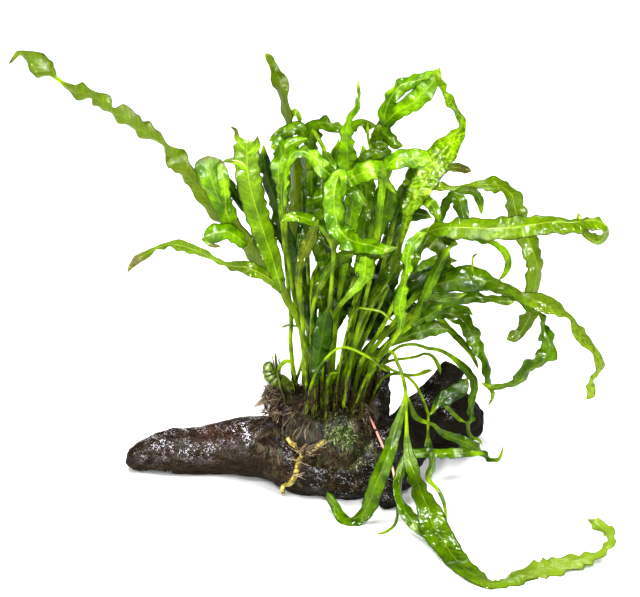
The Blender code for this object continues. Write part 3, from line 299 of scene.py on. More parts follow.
def ring_rows(rings: list, step: float) -> np.ndarray:
    """Space rings of (across, back, height, radii) evenly along a smooth curve through them.

    Args:
        rings: the rings that the shape is drawn with.
        step: the distance between the new rings, in millimetres.

    Returns:
        One row for each ring.
    """
    fine = refine(np.array(rings, dtype=float), 0.1)
    along = distances(fine[:, :3])
    return spaced(fine, along, max(3, round(along[-1] / step)))


def joined(bodies: list[bmesh.types.BMesh]) -> bmesh.types.BMesh:
    """Join bodies into one.

    Args:
        bodies: the bodies, which are used up.

    Returns:
        The one body.
    """
    mesh = bpy.data.meshes.new("joined")
    whole = bmesh.new()
    for body in bodies:
        body.to_mesh(mesh)
        body.free()
        whole.from_mesh(mesh)
    bpy.data.meshes.remove(mesh)
    return whole


def surface_of(*names: str) -> BVHTree:
    """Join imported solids, in millimetres, into one surface to lay things on.

    Args:
        *names: the solids' names.

    Returns:
        The surface.
    """
    ground = bmesh.new()
    for name in names:
        ground.from_mesh(frame["nodes"][name].data)
    bmesh.ops.scale(ground, vec=(1 / MM,) * 3, verts=ground.verts[:])
    tree = BVHTree.FromBMesh(ground)
    ground.free()
    return tree


def lies_before(tree: BVHTree, across: float, up: float, standoff: float = 0.0,
                hangs_at: float = 0.0) -> Vector:
    """Find the point that shows at a place and stands off what is behind it.

    Args:
        tree: the surface behind.
        across: millimetres right of the origin.
        up: millimetres up the picture plane.
        standoff: how far in front of the surface the point is.
        hangs_at: the depth that it has where nothing is behind it.

    Returns:
        The point.
    """
    hit = tree.ray_cast(view_point(across, up, 0.0) - SIGHT * OUTSIDE, SIGHT)[0]
    if hit is None:
        return view_point(across, up, min(hangs_at, floor_back(up)))
    return hit - SIGHT * standoff


def place_piece(name: str, body: bmesh.types.BMesh, materials: list[bpy.types.Material], slot: str,
                *stands_for: str) -> bpy.types.Object:
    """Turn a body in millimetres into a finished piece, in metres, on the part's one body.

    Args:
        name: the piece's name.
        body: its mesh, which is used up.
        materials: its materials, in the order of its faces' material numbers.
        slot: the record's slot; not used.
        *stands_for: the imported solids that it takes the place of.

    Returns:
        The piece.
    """
    bmesh.ops.scale(body, vec=(MM,) * 3, verts=body.verts[:])
    mesh = bpy.data.meshes.new(name)
    body.to_mesh(mesh)
    body.free()
    mesh.shade_smooth()
    for material in materials:
        mesh.materials.append(material)
    piece = bpy.data.objects.new(name, mesh)
    bpy.context.scene.collection.objects.link(piece)
    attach(piece, "root")
    if stands_for:
        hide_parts(*stands_for)
    log.info("%s: %d faces", name, len(mesh.polygons))
    return piece


# --- Leaves: how they lie -----------------------------------------------------------------------

# Sizes shared with the solids, in millimetres, so that each fine leaf lies on its own solid.
ROOT_HEIGHT = 45.0
PETIOLE_THICKNESS = 2.2
BLADE_THICKNESS = 1.1
TIP_THICKNESS = 0.7
STALK_WIDTH = 4.0
LEAF_RAMP = 18.0
MOST_TURNED = 1.8
BEND_ROOM = 1.3
SLIGHT_BEND = 0.05
FORESHORTENED = 0.45
ALONG_SIGHT = 0.3
STALK_ROUNDNESS = 1.5

# How crowded leaves part along the line of sight; a petiole is held fast near its root.
SETTLE_SPACING = 4.0
SETTLE_ROUNDS = 260
SETTLE_GAP = 0.55
SETTLE_PUSH = 1.4
SETTLE_REACH = np.array([0.1, 0.22, 0.36, 0.22, 0.1])
FOLLOW_SAMPLES = 5.0
ROOT_GRIP = 26.0
ROOT_FIXED_SHARE = 0.15
SPRIG_GRIP = 12.0
SPRIG_SHIFT = 13.0
LYING_HEIGHT = 4.0 * FLOOR_LIFT


class Tone(Enum):
    """The colour of a frond, from light new growth to deep old leaves, with painted light and shade: brighter
    where a frond faces the light, deeper where it lies in shade behind others; the value is its slot.
    """

    BRIGHT = "leaf_bright"
    MID = "leaf_mid"
    DARK = "leaf_dark"
    OLIVE = "leaf_olive"


class Tip(Enum):
    """How a lobe ends: still green, bleached, or brown with decay."""

    FRESH = "fresh"
    PALE = "pale"
    BROWN = "brown"


class Margin(Enum):
    """The line of a blade's edge."""

    WAVY = "wavy"
    SCALLOPED = "scalloped"
    TOOTHED = "toothed"


@dataclass
class Lobe:
    """A ribbon of leaf: a route of (across, up, seen width) with its depth and its real width.

    The waist holds factors of the width at even steps along the blade; age turns it olive, and
    speckle mottles it.
    """

    route: list
    back: tuple
    blade: float
    twist: int = 1
    ruffle: float = 1.0
    margin: Margin = Margin.WAVY
    nicks: float = 1.0
    waist: tuple = (1.0, 1.0)
    tip: Tip = Tip.FRESH
    tip_share: float = 0.25
    age: float = 0.0
    speckle: float = 0.0


@dataclass
class Frond:
    """One grown leaf: a petiole rooted at (across, back) in the mat, and the lobes on it."""

    name: str
    root: tuple
    tone: Tone
    lobes: list


@dataclass
class Sprig:
    """A small leaf that grows from the frond of the given name, between the larger ones."""

    name: str
    parent: str
    tone: Tone
    lobe: Lobe


def relax_line(values: np.ndarray) -> np.ndarray:
    """Ease the corners of a run of values.

    Args:
        values: the run.

    Returns:
        The eased run.
    """
    eased = np.array(values, dtype=float)
    for _ in range(3):
        eased[1:-1] = 0.25 * eased[:-2] + 0.5 * eased[1:-1] + 0.25 * eased[2:]
    return eased


def spread(values: np.ndarray) -> np.ndarray:
    """Share a run of pushes out over the neighbouring samples."""
    padded = np.pad(values, len(SETTLE_REACH) // 2, mode="edge")
    return np.convolve(padded, SETTLE_REACH, mode="valid")


class Ribbon:
    """A lobe sampled along its smooth route, with its place, its turn and its widths."""

    def __init__(self, lobe: Lobe, route: list, back: list, grip: float) -> None:
        """Sample a lobe.

        Args:
            lobe: the lobe's widths and looks.
            route: its route, from where it starts on the root mat or on another lobe.
            back: its depth at even steps along the route.
            grip: how long a stretch at its start is held fast.
        """
        length = sum(math.dist(low[:2], high[:2]) for low, high in zip(route, route[1:]))
        count = max(4, round(length / SETTLE_SPACING) + 1)
        rows = smooth_curve(route, count)
        depth = relax_line(resampled(back, count))
        seen = np.maximum(rows[:, 2], TIP_THICKNESS)
        along = SETTLE_SPACING * np.arange(count)
        leaf_start = along[np.argmax(seen > STALK_WIDTH)] if seen.max() > STALK_WIDTH else along[-1]
        taper = np.clip((along - leaf_start) / LEAF_RAMP, 0.0, 1.0)
        taper *= np.clip((along[-1] - along) / LEAF_RAMP, 0.0, 1.0)
        self.lobe = lobe
        self.width = np.clip(lobe.blade * taper, seen, MOST_TURNED * seen)
        self.roll = lobe.twist * np.arccos(np.clip(seen / self.width, 0.0, 1.0))
        self.centre = [view_point(across, up, min(depth_here, floor_back(up)))
                       for (across, up, _), depth_here in zip(rows, depth)]
        self.grip = grip
        self.parent = None
        self.shift = np.zeros(count)

    def frames(self) -> list[tuple]:
        """Find how the lobe lies at each sample.

        Returns:
            The centre, tangent, blade direction, face direction, width and thickness of each.
        """
        points = [point + SIGHT * move for point, move in zip(self.centre, self.shift)]
        rows = []
        across = None
        for index, point in enumerate(points):
            before = points[max(index - 1, 0)]
            after = points[min(index + 1, len(points) - 1)]
            tangent = (after - before).normalized()
            flat = tangent.cross(SIGHT)
            if across is not None:
                carried = (across - tangent * across.dot(tangent)).normalized()
                flat = flat + carried * max(0.0, FORESHORTENED - flat.length)
                if flat.dot(carried) < 0.0 and flat.length < ALONG_SIGHT:
                    flat = carried
            across = flat.normalized()
            face = across.cross(tangent).normalized()
            turn = self.roll[index]
            side = across * math.cos(turn) + face * math.sin(turn)
            width = float(self.width[index])
            bend = abs((after - point).normalized().cross((point - before).normalized()).dot(face))
            if bend > SLIGHT_BEND:
                width = min(width, max(STALK_WIDTH / 2, BEND_ROOM * SETTLE_SPACING / bend))
            stalk = width < PETIOLE_THICKNESS * STALK_ROUNDNESS
            thick = min(width, PETIOLE_THICKNESS) if stalk else BLADE_THICKNESS
            rows.append((point, tangent, side, side.cross(tangent), width, thick))
        return rows


def nearest_sample(ribbons: list[Ribbon], across: float, up: float) -> tuple[Ribbon, int]:
    """Find the sample that shows nearest to a place in the view.

    Args:
        ribbons: where it may lie.
        across: millimetres right of the origin.
        up: millimetres up the picture plane.

    Returns:
        Its ribbon, and its number there.
    """
    samples = [(ribbon, index) for ribbon in ribbons for index in range(len(ribbon.centre))]
    return min(samples, key=lambda sample: math.hypot(sample[0].centre[sample[1]].x - across,
                                                      seen_up(sample[0].centre[sample[1]]) - up))


def ribbons_of(frond: Frond) -> list[Ribbon]:
    """Sample the lobes of a frond, each side lobe starting on the lobe that it grows from.

    Args:
        frond: the frond.

    Returns:
        Its ribbons, the petiole's first.
    """
    root_across, root_back = frond.root
    start = Vector((root_across, root_back, ROOT_HEIGHT))
    ribbons = []
    for lobe in frond.lobes:
        route = list(lobe.route)
        back = list(lobe.back)
        parent = None
        if not ribbons:
            route.insert(0, (root_across, seen_up(start), route[0][2]))
            back[0] = root_back
        else:
            parent, index = nearest_sample(ribbons, route[0][0], route[0][1])
            joint = parent.centre[index]
            route[0] = (joint.x, seen_up(joint), route[0][2])
            change = joint.y - back[0]
            near = max(1, len(back) // 2)
            for step in range(near):
                back[step] += change * (near - step) / near
        ribbon = Ribbon(lobe, route, back, ROOT_GRIP if parent is None else 0.0)
        if parent is not None:
            ribbon.parent = (parent, index)
        ribbons.append(ribbon)
    return ribbons


def sprig_ribbon(sprig: Sprig, parents: list[Ribbon]) -> Ribbon:
    """Sample a small leaf that starts on a frond where that has settled.

    Args:
        sprig: the small leaf.
        parents: the ribbons of the frond that it grows from.

    Returns:
        Its ribbon.
    """
    first, *rest = sprig.lobe.route
    near, index = nearest_sample(parents, first[0], first[1])
    joint = near.centre[index] + SIGHT * float(near.shift[index])
    route = [(joint.x, seen_up(joint), first[2]), *rest]
    return Ribbon(sprig.lobe, route, [joint.y, *sprig.lobe.back[1:]], SPRIG_GRIP)


def settle(plant: list[list[Ribbon]], held: int = 0) -> None:
    """Part the fronds along the line of sight until none presses on another.

    What shows from in front stays where it is, because each sample only moves nearer or farther.

    Args:
        plant: the ribbons of each frond.
        held: how many fronds, from the first, stay where they are.
    """
    ribbons = [ribbon for frond_ribbons in plant for ribbon in frond_ribbons]
    owner = np.concatenate([[which] * len(r.centre) for which, rs in enumerate(plant) for r in rs])
    strip = np.concatenate([[which] * len(r.centre) for which, r in enumerate(ribbons)])
    spans = np.cumsum([0] + [len(r.centre) for r in ribbons])
    rows = [row for ribbon in ribbons for row in ribbon.frames()]
    place = np.array([(row[0].x, seen_up(row[0])) for row in rows])
    depth = np.array([row[0].dot(SIGHT) for row in rows])
    height = np.array([row[0].z for row in rows])
    reach = np.array([0.5 * math.hypot(row[4] * row[2].cross(SIGHT).length, SETTLE_SPACING) for row in rows])
    half = np.array([0.5 * (row[4] * abs(row[2].dot(SIGHT)) + row[5] * abs(row[3].dot(SIGHT))
                            + SETTLE_SPACING * abs(row[1].dot(SIGHT))) for row in rows])
    free = np.ones(len(rows))
    for ribbon, low, high in zip(ribbons, spans, spans[1:]):
        if ribbon.grip:
            along = np.linspace(0.0, SETTLE_SPACING * (high - low - 1), high - low)
            free[low:high] = np.clip(along / ribbon.grip - ROOT_FIXED_SHARE, 0.0, 1.0)
    free[height < LYING_HEIGHT] = 0.0
    free[owner < held] = 0.0
    apart = np.linalg.norm(place[:, None] - place[None], axis=2)
    near = (apart < reach[:, None] + reach[None]) & (owner[:, None] < owner[None])
    first, second = np.nonzero(near)
    need = half[first] + half[second] + SETTLE_GAP
    strips = strip[first] * len(ribbons) + strip[second]
    totals = np.bincount(strips, weights=depth[first] - depth[second], minlength=len(ribbons) ** 2)
    sign = np.where(totals[strips] >= 0.0, 1.0, -1.0)
    shift = np.zeros(len(rows))
    starts = {id(ribbon): low for ribbon, low in zip(ribbons, spans)}
    for _ in range(SETTLE_ROUNDS):
        now = depth + shift
        press = np.clip(need - sign * (now[first] - now[second]), 0.0, None)
        touched = np.bincount(first, press > 0, len(rows)) + np.bincount(second, press > 0, len(rows))
        push = np.bincount(first, sign * press, len(rows)) - np.bincount(second, sign * press, len(rows))
        push = 0.5 * push / np.maximum(touched, 1.0)
        for ribbon, low, high in zip(ribbons, spans, spans[1:]):
            shift[low:high] += SETTLE_PUSH * spread(push[low:high]) * free[low:high]
            if ribbon.parent is not None:
                parent, index = ribbon.parent
                follow = shift[starts[id(parent)] + index] - shift[low]
                fade = np.clip(1.0 - np.arange(high - low) / FOLLOW_SAMPLES, 0.0, 1.0)
                shift[low:high] += follow * fade
    if held:
        shift = SPRIG_SHIFT * np.tanh(shift / SPRIG_SHIFT)
    for ribbon, low, high in zip(ribbons, spans, spans[1:]):
        ribbon.shift = ribbon.shift + shift[low:high]


# The fronds that the photograph shows, and those guessed behind them.
FRONDS = [
    Frond("frond_left_trident", (-12, 1), Tone.BRIGHT, [
        Lobe([(-11, 58, 3), (-11, 70, 3), (-14, 81, 3.2), (-17, 88, 3.4), (-22, 101, 4), (-26, 108, 4.5),
            (-32, 119, 5), (-38, 124, 7), (-43, 131, 7.5), (-50, 141, 8), (-58, 150, 9.5), (-66, 158, 10),
            (-74.5, 171, 10.5), (-81, 177.5, 7.5), (-86, 184.5, 13), (-91, 191.5, 3.6), (-96, 195, 5),
            (-103.5, 200, 10.5), (-108.5, 203.5, 6), (-115.5, 208.5, 12), (-121, 211, 3.6), (-127, 216, 10),
            (-131, 219.5, 5), (-138, 221, 9.6), (-145, 224, 3.4), (-150, 228, 2), (-153.5, 230, 3.6),
            (-157.5, 233, 11.5), (-161.5, 237, 12.5), (-166, 240, 6.4), (-171, 242, 3), (-174, 239.5, 2.2),
            (-177, 236, 1.4)], (1, -5, -10, -14, -17, -17, -14, -10, -6), 12, age=0.85, ruffle=0.35,
            nicks=0.4, tip=Tip.BROWN, tip_share=0.03),
        Lobe([(-30, 115, 5), (-37, 121, 6), (-48, 126, 8), (-60, 128, 3), (-70, 133, 4), (-80, 137, 6),
            (-90, 139, 4), (-98, 136, 2.5), (-105, 132, 5), (-110, 128, 4), (-113, 123, 1.5)],
            (-11, -19, -26, -32, -36), 8, age=0.55, ruffle=0.6, tip=Tip.BROWN, tip_share=0.2),
        Lobe([(-30, 115, 5), (-34, 130, 10), (-38, 142, 12), (-41.5, 153, 13), (-45, 165, 14),
            (-47.5, 178, 14), (-48, 188, 14), (-48, 193, 14), (-48, 195.5, 12.5)],
            (-11, -19, -25, -27, -25), 14, -1, ruffle=0.6, age=0.35),
        Lobe([(-51, 190, 5), (-53, 196, 3.8), (-53.6, 200, 2.8), (-57, 202.5, 1.6)], (-25, -26), 5,
            ruffle=0.2, tip=Tip.BROWN, tip_share=0.7),
        Lobe([(-44.5, 186, 6), (-43, 191, 5.5), (-42.5, 195, 3.4), (-42, 197.5, 1.5)], (-26, -27), 6,
            tip=Tip.BROWN, tip_share=0.3),
        Lobe([(-48, 140, 7), (-57, 145, 9), (-64, 145, 10), (-69, 143.5, 9), (-71.5, 142.5, 6)],
            (-14, -21, -25, -25), 10, ruffle=0.4),
        Lobe([(-70, 141, 4), (-67.5, 138.5, 3.6), (-62, 137.5, 2)], (-25, -26), 5, ruffle=0.2,
            tip=Tip.BROWN, tip_share=0.6),
        Lobe([(-55, 149, 9), (-60, 158, 11), (-64, 166, 12.5), (-67, 174, 14.5), (-68.5, 181, 15.5),
            (-69, 184, 15.5), (-69, 186.5, 14)], (-16, -23, -26, -22), 17, ruffle=0.8, tip=Tip.BROWN,
            tip_share=0.07),
        Lobe([(-58, 158, 5), (-60, 168, 6), (-61, 177, 6.5), (-62.5, 184, 4)], (-22, -29, -31, -26), 7,
            tip=Tip.BROWN, tip_share=0.08),
        Lobe([(-48, 180, 5), (-55, 184, 4), (-62, 183, 1.5)], (-26, -27), 5),
    ]),
    Frond("frond_left_dark", (-15, 16), Tone.DARK, [
        Lobe([(-13, 70, 2.6), (-13, 85, 2.6), (-15, 95, 3), (-20, 110, 4), (-23, 125, 6), (-26, 140, 8),
            (-29, 150, 8), (-33, 165, 8), (-38, 180, 7), (-39, 193, 2)], (16, 17, 14, 8, 2), 9),
        Lobe([(-25, 138, 4), (-36, 149, 6), (-48, 159, 7), (-56, 169, 6), (-60, 177, 2)], (9, 12, 14), 7),
    ]),
    Frond("frond_top_left_tall", (-16, 22), Tone.MID, [
        Lobe([(-17, 78, 2.6), (-18, 105, 2.8), (-22, 120, 4), (-25, 140, 6), (-23, 155, 7), (-21, 172, 8),
            (-22, 185, 7), (-24, 195, 4), (-25.4, 204, 2.8), (-26.3, 209.7, 6.5), (-28.4, 218.7, 3.9),
            (-30.1, 226.5, 9.7), (-32.8, 234, 5), (-35, 239, 4.4), (-38, 243, 4)], (22, 26, 31, 35, 36), 10,
            ruffle=0.4, nicks=0.2, age=0.8),
        Lobe([(-26, 207, 4), (-23, 211, 4), (-20, 209, 4), (-19, 204, 2)], (35, 30), 4),
    ]),
    Frond("frond_top_flat", (-11, 22), Tone.MID, [
        Lobe([(-12, 75, 2.4), (-13, 95, 2.4), (-15, 130, 3), (-16, 160, 4), (-16, 180, 5), (-14, 194, 6),
            (-10, 204, 8), (0, 203, 4), (5, 201.5, 4), (11, 203.5, 4), (18, 205, 5), (24, 201, 5),
            (29, 197, 6), (33, 193, 4), (37, 192, 3)], (22, 24, 22, 18, 10, 2), 9,
            waist=(1, 1, 1, 1, 1.1, 1.2, 1.2, 1.2, 1.3)),
        Lobe([(-14, 192, 5), (-20, 202, 5), (-30, 198, 4), (-36, 195, 2)], (16, 10, 8), 6,
            waist=(1.2, 1.5, 1.6, 1.6)),
        Lobe([(-11, 202, 3), (-9, 196, 3), (-6, 190, 3), (-8, 183, 1.5)], (13, 4, 0), 4),
    ]),
    Frond("frond_bright_pair", (-20, 12), Tone.BRIGHT, [
        Lobe([(-23, 70, 3), (-24, 80, 3), (-24.5, 88, 3), (-24, 97, 3), (-26, 120, 3), (-28, 145, 4),
            (-29, 165, 5), (-28, 180, 6), (-27, 190, 6), (-22, 194, 5), (-15, 196, 1.5)],
            (12, 6, -2, -8, -12, -18), 7, waist=(1, 1, 1, 0.8, 1.2, 1.3)),
        Lobe([(-28, 186, 5), (-31, 193, 5), (-35, 191, 2)], (-15, -20), 6, waist=(1.5, 1.9, 2)),
        Lobe([(-27, 189, 6), (-30, 183, 8), (-31, 176, 6), (-30, 170, 1.5)], (-16, -24, -25), 8, -1,
            waist=(1.2, 1.3, 1.2)),
    ]),
    Frond("frond_gloss_diagonal", (-16, 7), Tone.BRIGHT, [
        Lobe([(-17, 66, 2.5), (-17.5, 80, 2.5), (-20, 97, 2.5), (-25, 125, 3), (-27, 150, 4), (-27, 172, 5),
            (-25, 184, 6), (-20, 189, 7), (-12, 186, 9), (-6, 179, 9), (4, 171, 8), (12, 165, 6),
            (18, 158, 2)], (7, 0, -7, -14, -22, -30, -33), 9,
            waist=(1, 1, 1, 0.9, 0.6, 0.5, 0.8, 1.1, 1.1)),
    ]),
    Frond("frond_centre_pointed", (-4, 7), Tone.BRIGHT, [
        Lobe([(-1, 72, 2.8), (0, 92, 3), (3, 115, 3.5), (7, 140, 6), (10, 165, 10), (7, 182, 12),
            (6.5, 192, 10), (6.5, 200, 7), (7.5, 205, 5), (9.5, 210, 4), (12.5, 217, 3), (12.5, 228, 1.2)],
            (7, 6, 4, 0, -4, -6), 12, ruffle=0.6, waist=(1, 1, 1, 1.1, 1, 0.9, 0.9)),
    ]),
    Frond("frond_upper_arch", (-1, 12), Tone.BRIGHT, [
        Lobe([(6, 75, 2.6), (10, 95, 2.8), (16, 125, 3), (22, 155, 4), (27, 182, 5), (26, 195, 6),
            (27, 207, 7), (29, 215, 7), (33, 222, 7), (38, 226, 7), (46, 228, 7), (55, 231, 5),
            (57, 235, 1.5)], (12, 12, 13, 14, 14, 12, 10), 8, waist=(1, 1, 1, 1, 1.2, 1.2, 1.1, 1.1)),
        Lobe([(27, 205, 7), (33, 210, 8), (41, 215, 10), (48, 221, 11), (53, 227, 7), (55, 232, 2)],
            (12, 4, 2), 11, -1),
    ]),
    Frond("frond_speckled", (2, 3), Tone.BRIGHT, [
        Lobe([(5, 68, 1.8), (14, 90, 1.8), (22, 108, 1.8), (29, 119, 1.8), (33, 130, 2), (38, 147, 4),
            (40, 158, 8), (44, 165, 12), (50, 175, 13), (56, 185, 13), (62, 193, 10), (67, 199, 5),
            (69, 204, 3), (67, 209, 3), (64, 214, 3.5), (60, 220, 3), (58, 225, 3), (56, 230, 2),
            (54.5, 234, 1.2)], (3, -5, -10, -14, -14, -8, -4), 13, speckle=0.65, age=0.1, ruffle=0.6,
            waist=(1, 1, 1, 1, 1, 1, 1.2, 1.4, 1.2)),
        Lobe([(51, 174, 5), (59, 180, 4), (66, 180.5, 5), (74, 178.5, 4)], (-13, -6, 0), 5, age=0.5,
            tip=Tip.BROWN, tip_share=0.7),
    ]),
    Frond("frond_bright_level", (3, -2), Tone.BRIGHT, [
        Lobe([(8, 72, 2.6), (13, 95, 2.8), (19, 120, 3), (23, 145, 3.5), (25, 165, 4), (27, 178, 6),
            (32, 184, 8), (41, 185, 9), (48, 185, 8), (53, 183, 2)], (-2, -8, -15, -22, -28, -34), 9,
            waist=(1, 1, 1, 1, 1.1, 1.2, 1.2)),
        Lobe([(26, 180, 3), (28, 172, 4), (33, 166, 2)], (-25, -32), 4),
    ]),
    Frond("frond_right_droop", (3, 22), Tone.BRIGHT, [
        Lobe([(11, 75, 2.6), (20, 95, 2.6), (30, 120, 3), (38, 150, 3), (46, 166, 4), (55, 171, 4),
            (62, 170, 4), (68, 169.5, 3), (74, 171, 3.6), (80, 171.5, 5), (85, 171.3, 8.5), (89, 171.5, 9),
            (93, 169, 5.5), (97, 166, 9.5), (98.5, 160.5, 10.5), (100, 154, 11), (103, 147, 11),
            (106.5, 140, 11.5), (109, 133, 9.5), (110.5, 126, 9.5), (109.5, 118.5, 8), (108.5, 112, 7.5),
            (108, 106, 4.5), (107, 100.5, 8), (104.5, 95, 8), (101.5, 90, 6), (97, 88, 6),
            (94.5, 86.5, 4.5)], (22, 26, 32, 38, 42, 44, 42, 40, 40), 12, margin=Margin.SCALLOPED,
            nicks=1.2, ruffle=0.5, age=0.7),
    ]),
    Frond("frond_right_straight", (8, 3), Tone.BRIGHT, [
        Lobe([(13, 70, 3), (20, 84, 3), (28, 98, 3), (36, 116, 3.5), (42, 134, 5), (48, 143, 7),
            (58, 147, 9), (70, 147.5, 12), (82, 147, 12), (95, 147.5, 13), (108, 149, 11), (120, 150, 9),
            (130, 149.5, 7), (140, 151, 5), (147, 147, 4), (143, 141, 4), (137, 143, 3), (133, 149, 2.5),
            (132, 156, 1.5)], (3, -6, -14, -20, -26, -32, -38, -42, -40), 13, age=0.6,
            waist=(1, 1, 1, 1, 1, 1, 1, 1, 1.1, 1.5, 1.6)),
        Lobe([(60, 147, 6), (71, 143, 4), (80, 141.5, 4), (86, 139.5, 3), (91, 136, 4), (94, 131, 4),
            (94, 126, 4), (92, 122, 3), (89, 119, 1.5)], (-26, -20, -14, -10), 5, margin=Margin.SCALLOPED),
    ]),
    Frond("frond_right_mid", (7, 12), Tone.MID, [
        Lobe([(15, 72, 2.6), (26, 88, 2.8), (38, 104, 3.2), (46, 112, 5), (52, 115.5, 8), (60, 118, 10),
            (70, 120, 15), (80, 119, 12), (88, 117, 5.5), (95, 114.5, 5.5), (100, 110.5, 5.5),
            (105, 109, 8), (111, 107.5, 10), (117.5, 105, 9.5), (123, 102.5, 6), (128.5, 98, 2.8),
            (132, 92, 6.5), (136, 87, 7), (140.5, 82, 4), (144, 76, 5), (144.5, 71, 5), (142, 67, 3),
            (140.3, 65, 2.2), (139.6, 61.5, 5), (139.5, 57, 4.5), (138.5, 54.5, 4.5), (136.5, 54, 2)],
            (12, 4, -6, -16, -24, -30, -34, -36, -38), 11, tip=Tip.PALE, tip_share=0.5, speckle=1.0,
            ruffle=0.4, nicks=0.5),
        Lobe([(48, 113, 4), (56, 109.5, 5), (64, 110, 5), (72, 112, 1.5)], (-8, -14, -14), 5),
    ]),
    Frond("frond_twisted_thin", (8, 17), Tone.MID, [
        Lobe([(19, 74, 2.4), (34, 90, 2.4), (46, 101, 3), (55, 105, 4), (65, 108, 4.5), (75, 110, 5),
            (85, 109, 3), (92, 108, 4), (98, 107, 2)], (17, 14, 10, 4, 0), 5, waist=(1, 1, 1.1, 1.3, 1.4)),
    ]),
    Frond("frond_toothed_droop", (9, 22), Tone.MID, [
        Lobe([(20, 79, 2.4), (40, 100, 2.6), (60, 113, 3.5), (80, 116, 4), (98, 110, 4), (108, 103, 3.5),
            (112, 101, 1.8), (114.5, 97, 5), (114, 93.5, 2), (116, 88.5, 8.5), (117.5, 85, 4.5),
            (117, 81, 7.5), (115.5, 77.5, 9), (112.5, 74, 4.5), (108, 72, 6), (105, 70, 4.5), (103, 67, 5),
            (100, 63.5, 4.5), (96, 62, 2.6), (91, 61, 2.8), (86, 60.5, 3), (80, 63, 1.5)],
            (22, 25, 24, 20, 14, 12, 12, 14), 8, margin=Margin.TOOTHED, nicks=0.9, ruffle=0.3,
            waist=(1, 1, 1, 1.2, 1.2)),
    ]),
    Frond("frond_wavy_down", (6.5, 26), Tone.MID, [
        Lobe([(14, 78, 2.6), (32, 94, 2.8), (50, 100, 4), (62, 101, 6), (68, 99, 7), (72, 95, 7),
            (76, 88, 8), (79, 82, 6), (82, 76, 5), (84, 70, 4), (84.5, 63, 3), (87, 56, 2), (84, 50, 1.2)],
            (27, 30, 30, 26, 22, 20), 8, margin=Margin.SCALLOPED, nicks=1.3,
            waist=(1, 1, 1.1, 1.1, 1.1, 1.1)),
        Lobe([(57, 100.5, 4), (63, 92, 4), (70, 85, 4), (76, 77, 3), (79, 70, 1.5)], (29, 32, 32), 4),
        Lobe([(60, 101, 5), (70, 103, 6), (76, 100, 1.5)], (29, 34), 6),
    ]),
    Frond("frond_inverted_v", (-3, 22), Tone.MID, [
        Lobe([(5, 78, 2.4), (20, 104, 2.4), (38, 128, 3), (52, 142, 4), (58, 155, 4), (61, 163, 4),
            (66, 165, 5), (69, 158, 6), (71, 148, 2)], (22, 24, 24, 20, 14, 8), 6,
            waist=(1, 1, 1, 1.2, 1.4)),
        Lobe([(60, 161, 3), (67, 167, 3), (75, 168, 3), (79, 163, 3), (80, 155, 1.5)], (15, 20, 22), 3.5,
            waist=(1.3, 1.5, 1.6)),
    ]),
    Frond("frond_centre_c", (-2, 2), Tone.BRIGHT, [
        Lobe([(-3, 72, 2.6), (-3, 98, 2.8), (-1, 130, 3), (2, 158, 4), (3.5, 170, 6), (2.5, 177, 8),
            (0, 172, 10), (-1, 164, 11), (-0.5, 157, 12), (1, 149, 11), (6, 142, 11), (13, 139, 10),
            (20, 137.5, 8), (27, 136, 5), (34, 137, 2)], (2, -4, -10, -16, -24, -34, -40, -42, -42), 12,
            ruffle=1.2, waist=(1, 1, 1, 1, 1, 1.05, 1.05)),
    ]),
    Frond("frond_spoon", (-7, -3), Tone.BRIGHT, [
        Lobe([(-7, 70, 2.4), (-5, 88, 2.4), (-1, 100, 2.6), (4, 107, 3), (10, 113.5, 4), (15, 119, 5),
            (16.5, 126, 9), (16.5, 132, 3)], (-3, -10, -18, -26, -30), 9, waist=(1, 1, 1, 1.1, 1.4)),
    ]),
    Frond("frond_small_arch", (-12, 11), Tone.BRIGHT, [
        Lobe([(-9, 72, 2.4), (-5, 95, 2.4), (-2, 118, 2.6), (-1, 134, 3), (-3, 142, 3), (-7, 147.5, 3.5),
            (-12, 151, 5), (-18, 153.5, 5), (-24, 153.5, 4), (-29.5, 151, 1.5)], (11, 4, -4, -12, -20, -26),
            5, waist=(1, 1, 1, 1, 1.3, 1.3)),
    ]),
    Frond("frond_yellow_ribbon", (-16, 2), Tone.OLIVE, [
        Lobe([(-16, 72, 2.2), (-18, 98, 2.4), (-20, 118, 3), (-19, 127, 3), (-18, 132, 4), (-15, 138, 5),
            (-12, 145, 4), (-9, 152, 1.5)], (2, -8, -18, -26, -30), 5, margin=Margin.SCALLOPED,
            waist=(1, 1, 1.2, 1.5, 1.4)),
    ]),
    Frond("frond_midrib", (2, 8), Tone.MID, [
        Lobe([(9, 80, 2.4), (17, 110, 2.6), (21, 130, 3), (23, 140, 4), (24, 147, 6), (26, 154, 11),
            (28, 161, 13), (29, 167, 9), (30, 173, 2)], (8, 4, -4, -14, -20), 13),
    ]),
    Frond("frond_dark_bowl", (2, 17), Tone.DARK, [
        Lobe([(12, 84, 2.4), (22, 112, 2.6), (29, 138, 3), (33, 151, 6), (40, 155, 9), (48, 155, 6),
            (53, 153, 1.5)], (17, 16, 10, 4, 2), 9),
        Lobe([(30, 143, 3), (33, 157, 3.5), (40, 162, 3.5), (46, 163, 4), (51, 161, 3.5), (55, 156, 3),
            (57, 151, 1.5)], (9, -2, -8, -10), 4, waist=(1, 1.4, 1.5)),
    ]),
    Frond("frond_mid_leaf", (7, -2), Tone.BRIGHT, [
        Lobe([(16, 64, 2.2), (27, 80, 2.4), (34, 90, 3), (36, 97, 5), (35, 104, 7), (36, 110, 6),
            (38, 118, 4), (39, 127, 5), (40, 135, 7), (45, 142, 6), (50, 145, 1.5)],
            (-2, -14, -24, -32, -36, -38), 7, waist=(1, 1, 1.1, 1, 1, 1)),
    ]),
    Frond("frond_green_strap", (12, 6), Tone.MID, [
        Lobe([(22, 72, 2.4), (32, 86, 2.6), (38, 92, 3.5), (43, 97, 4), (46, 104, 5), (50, 113, 6),
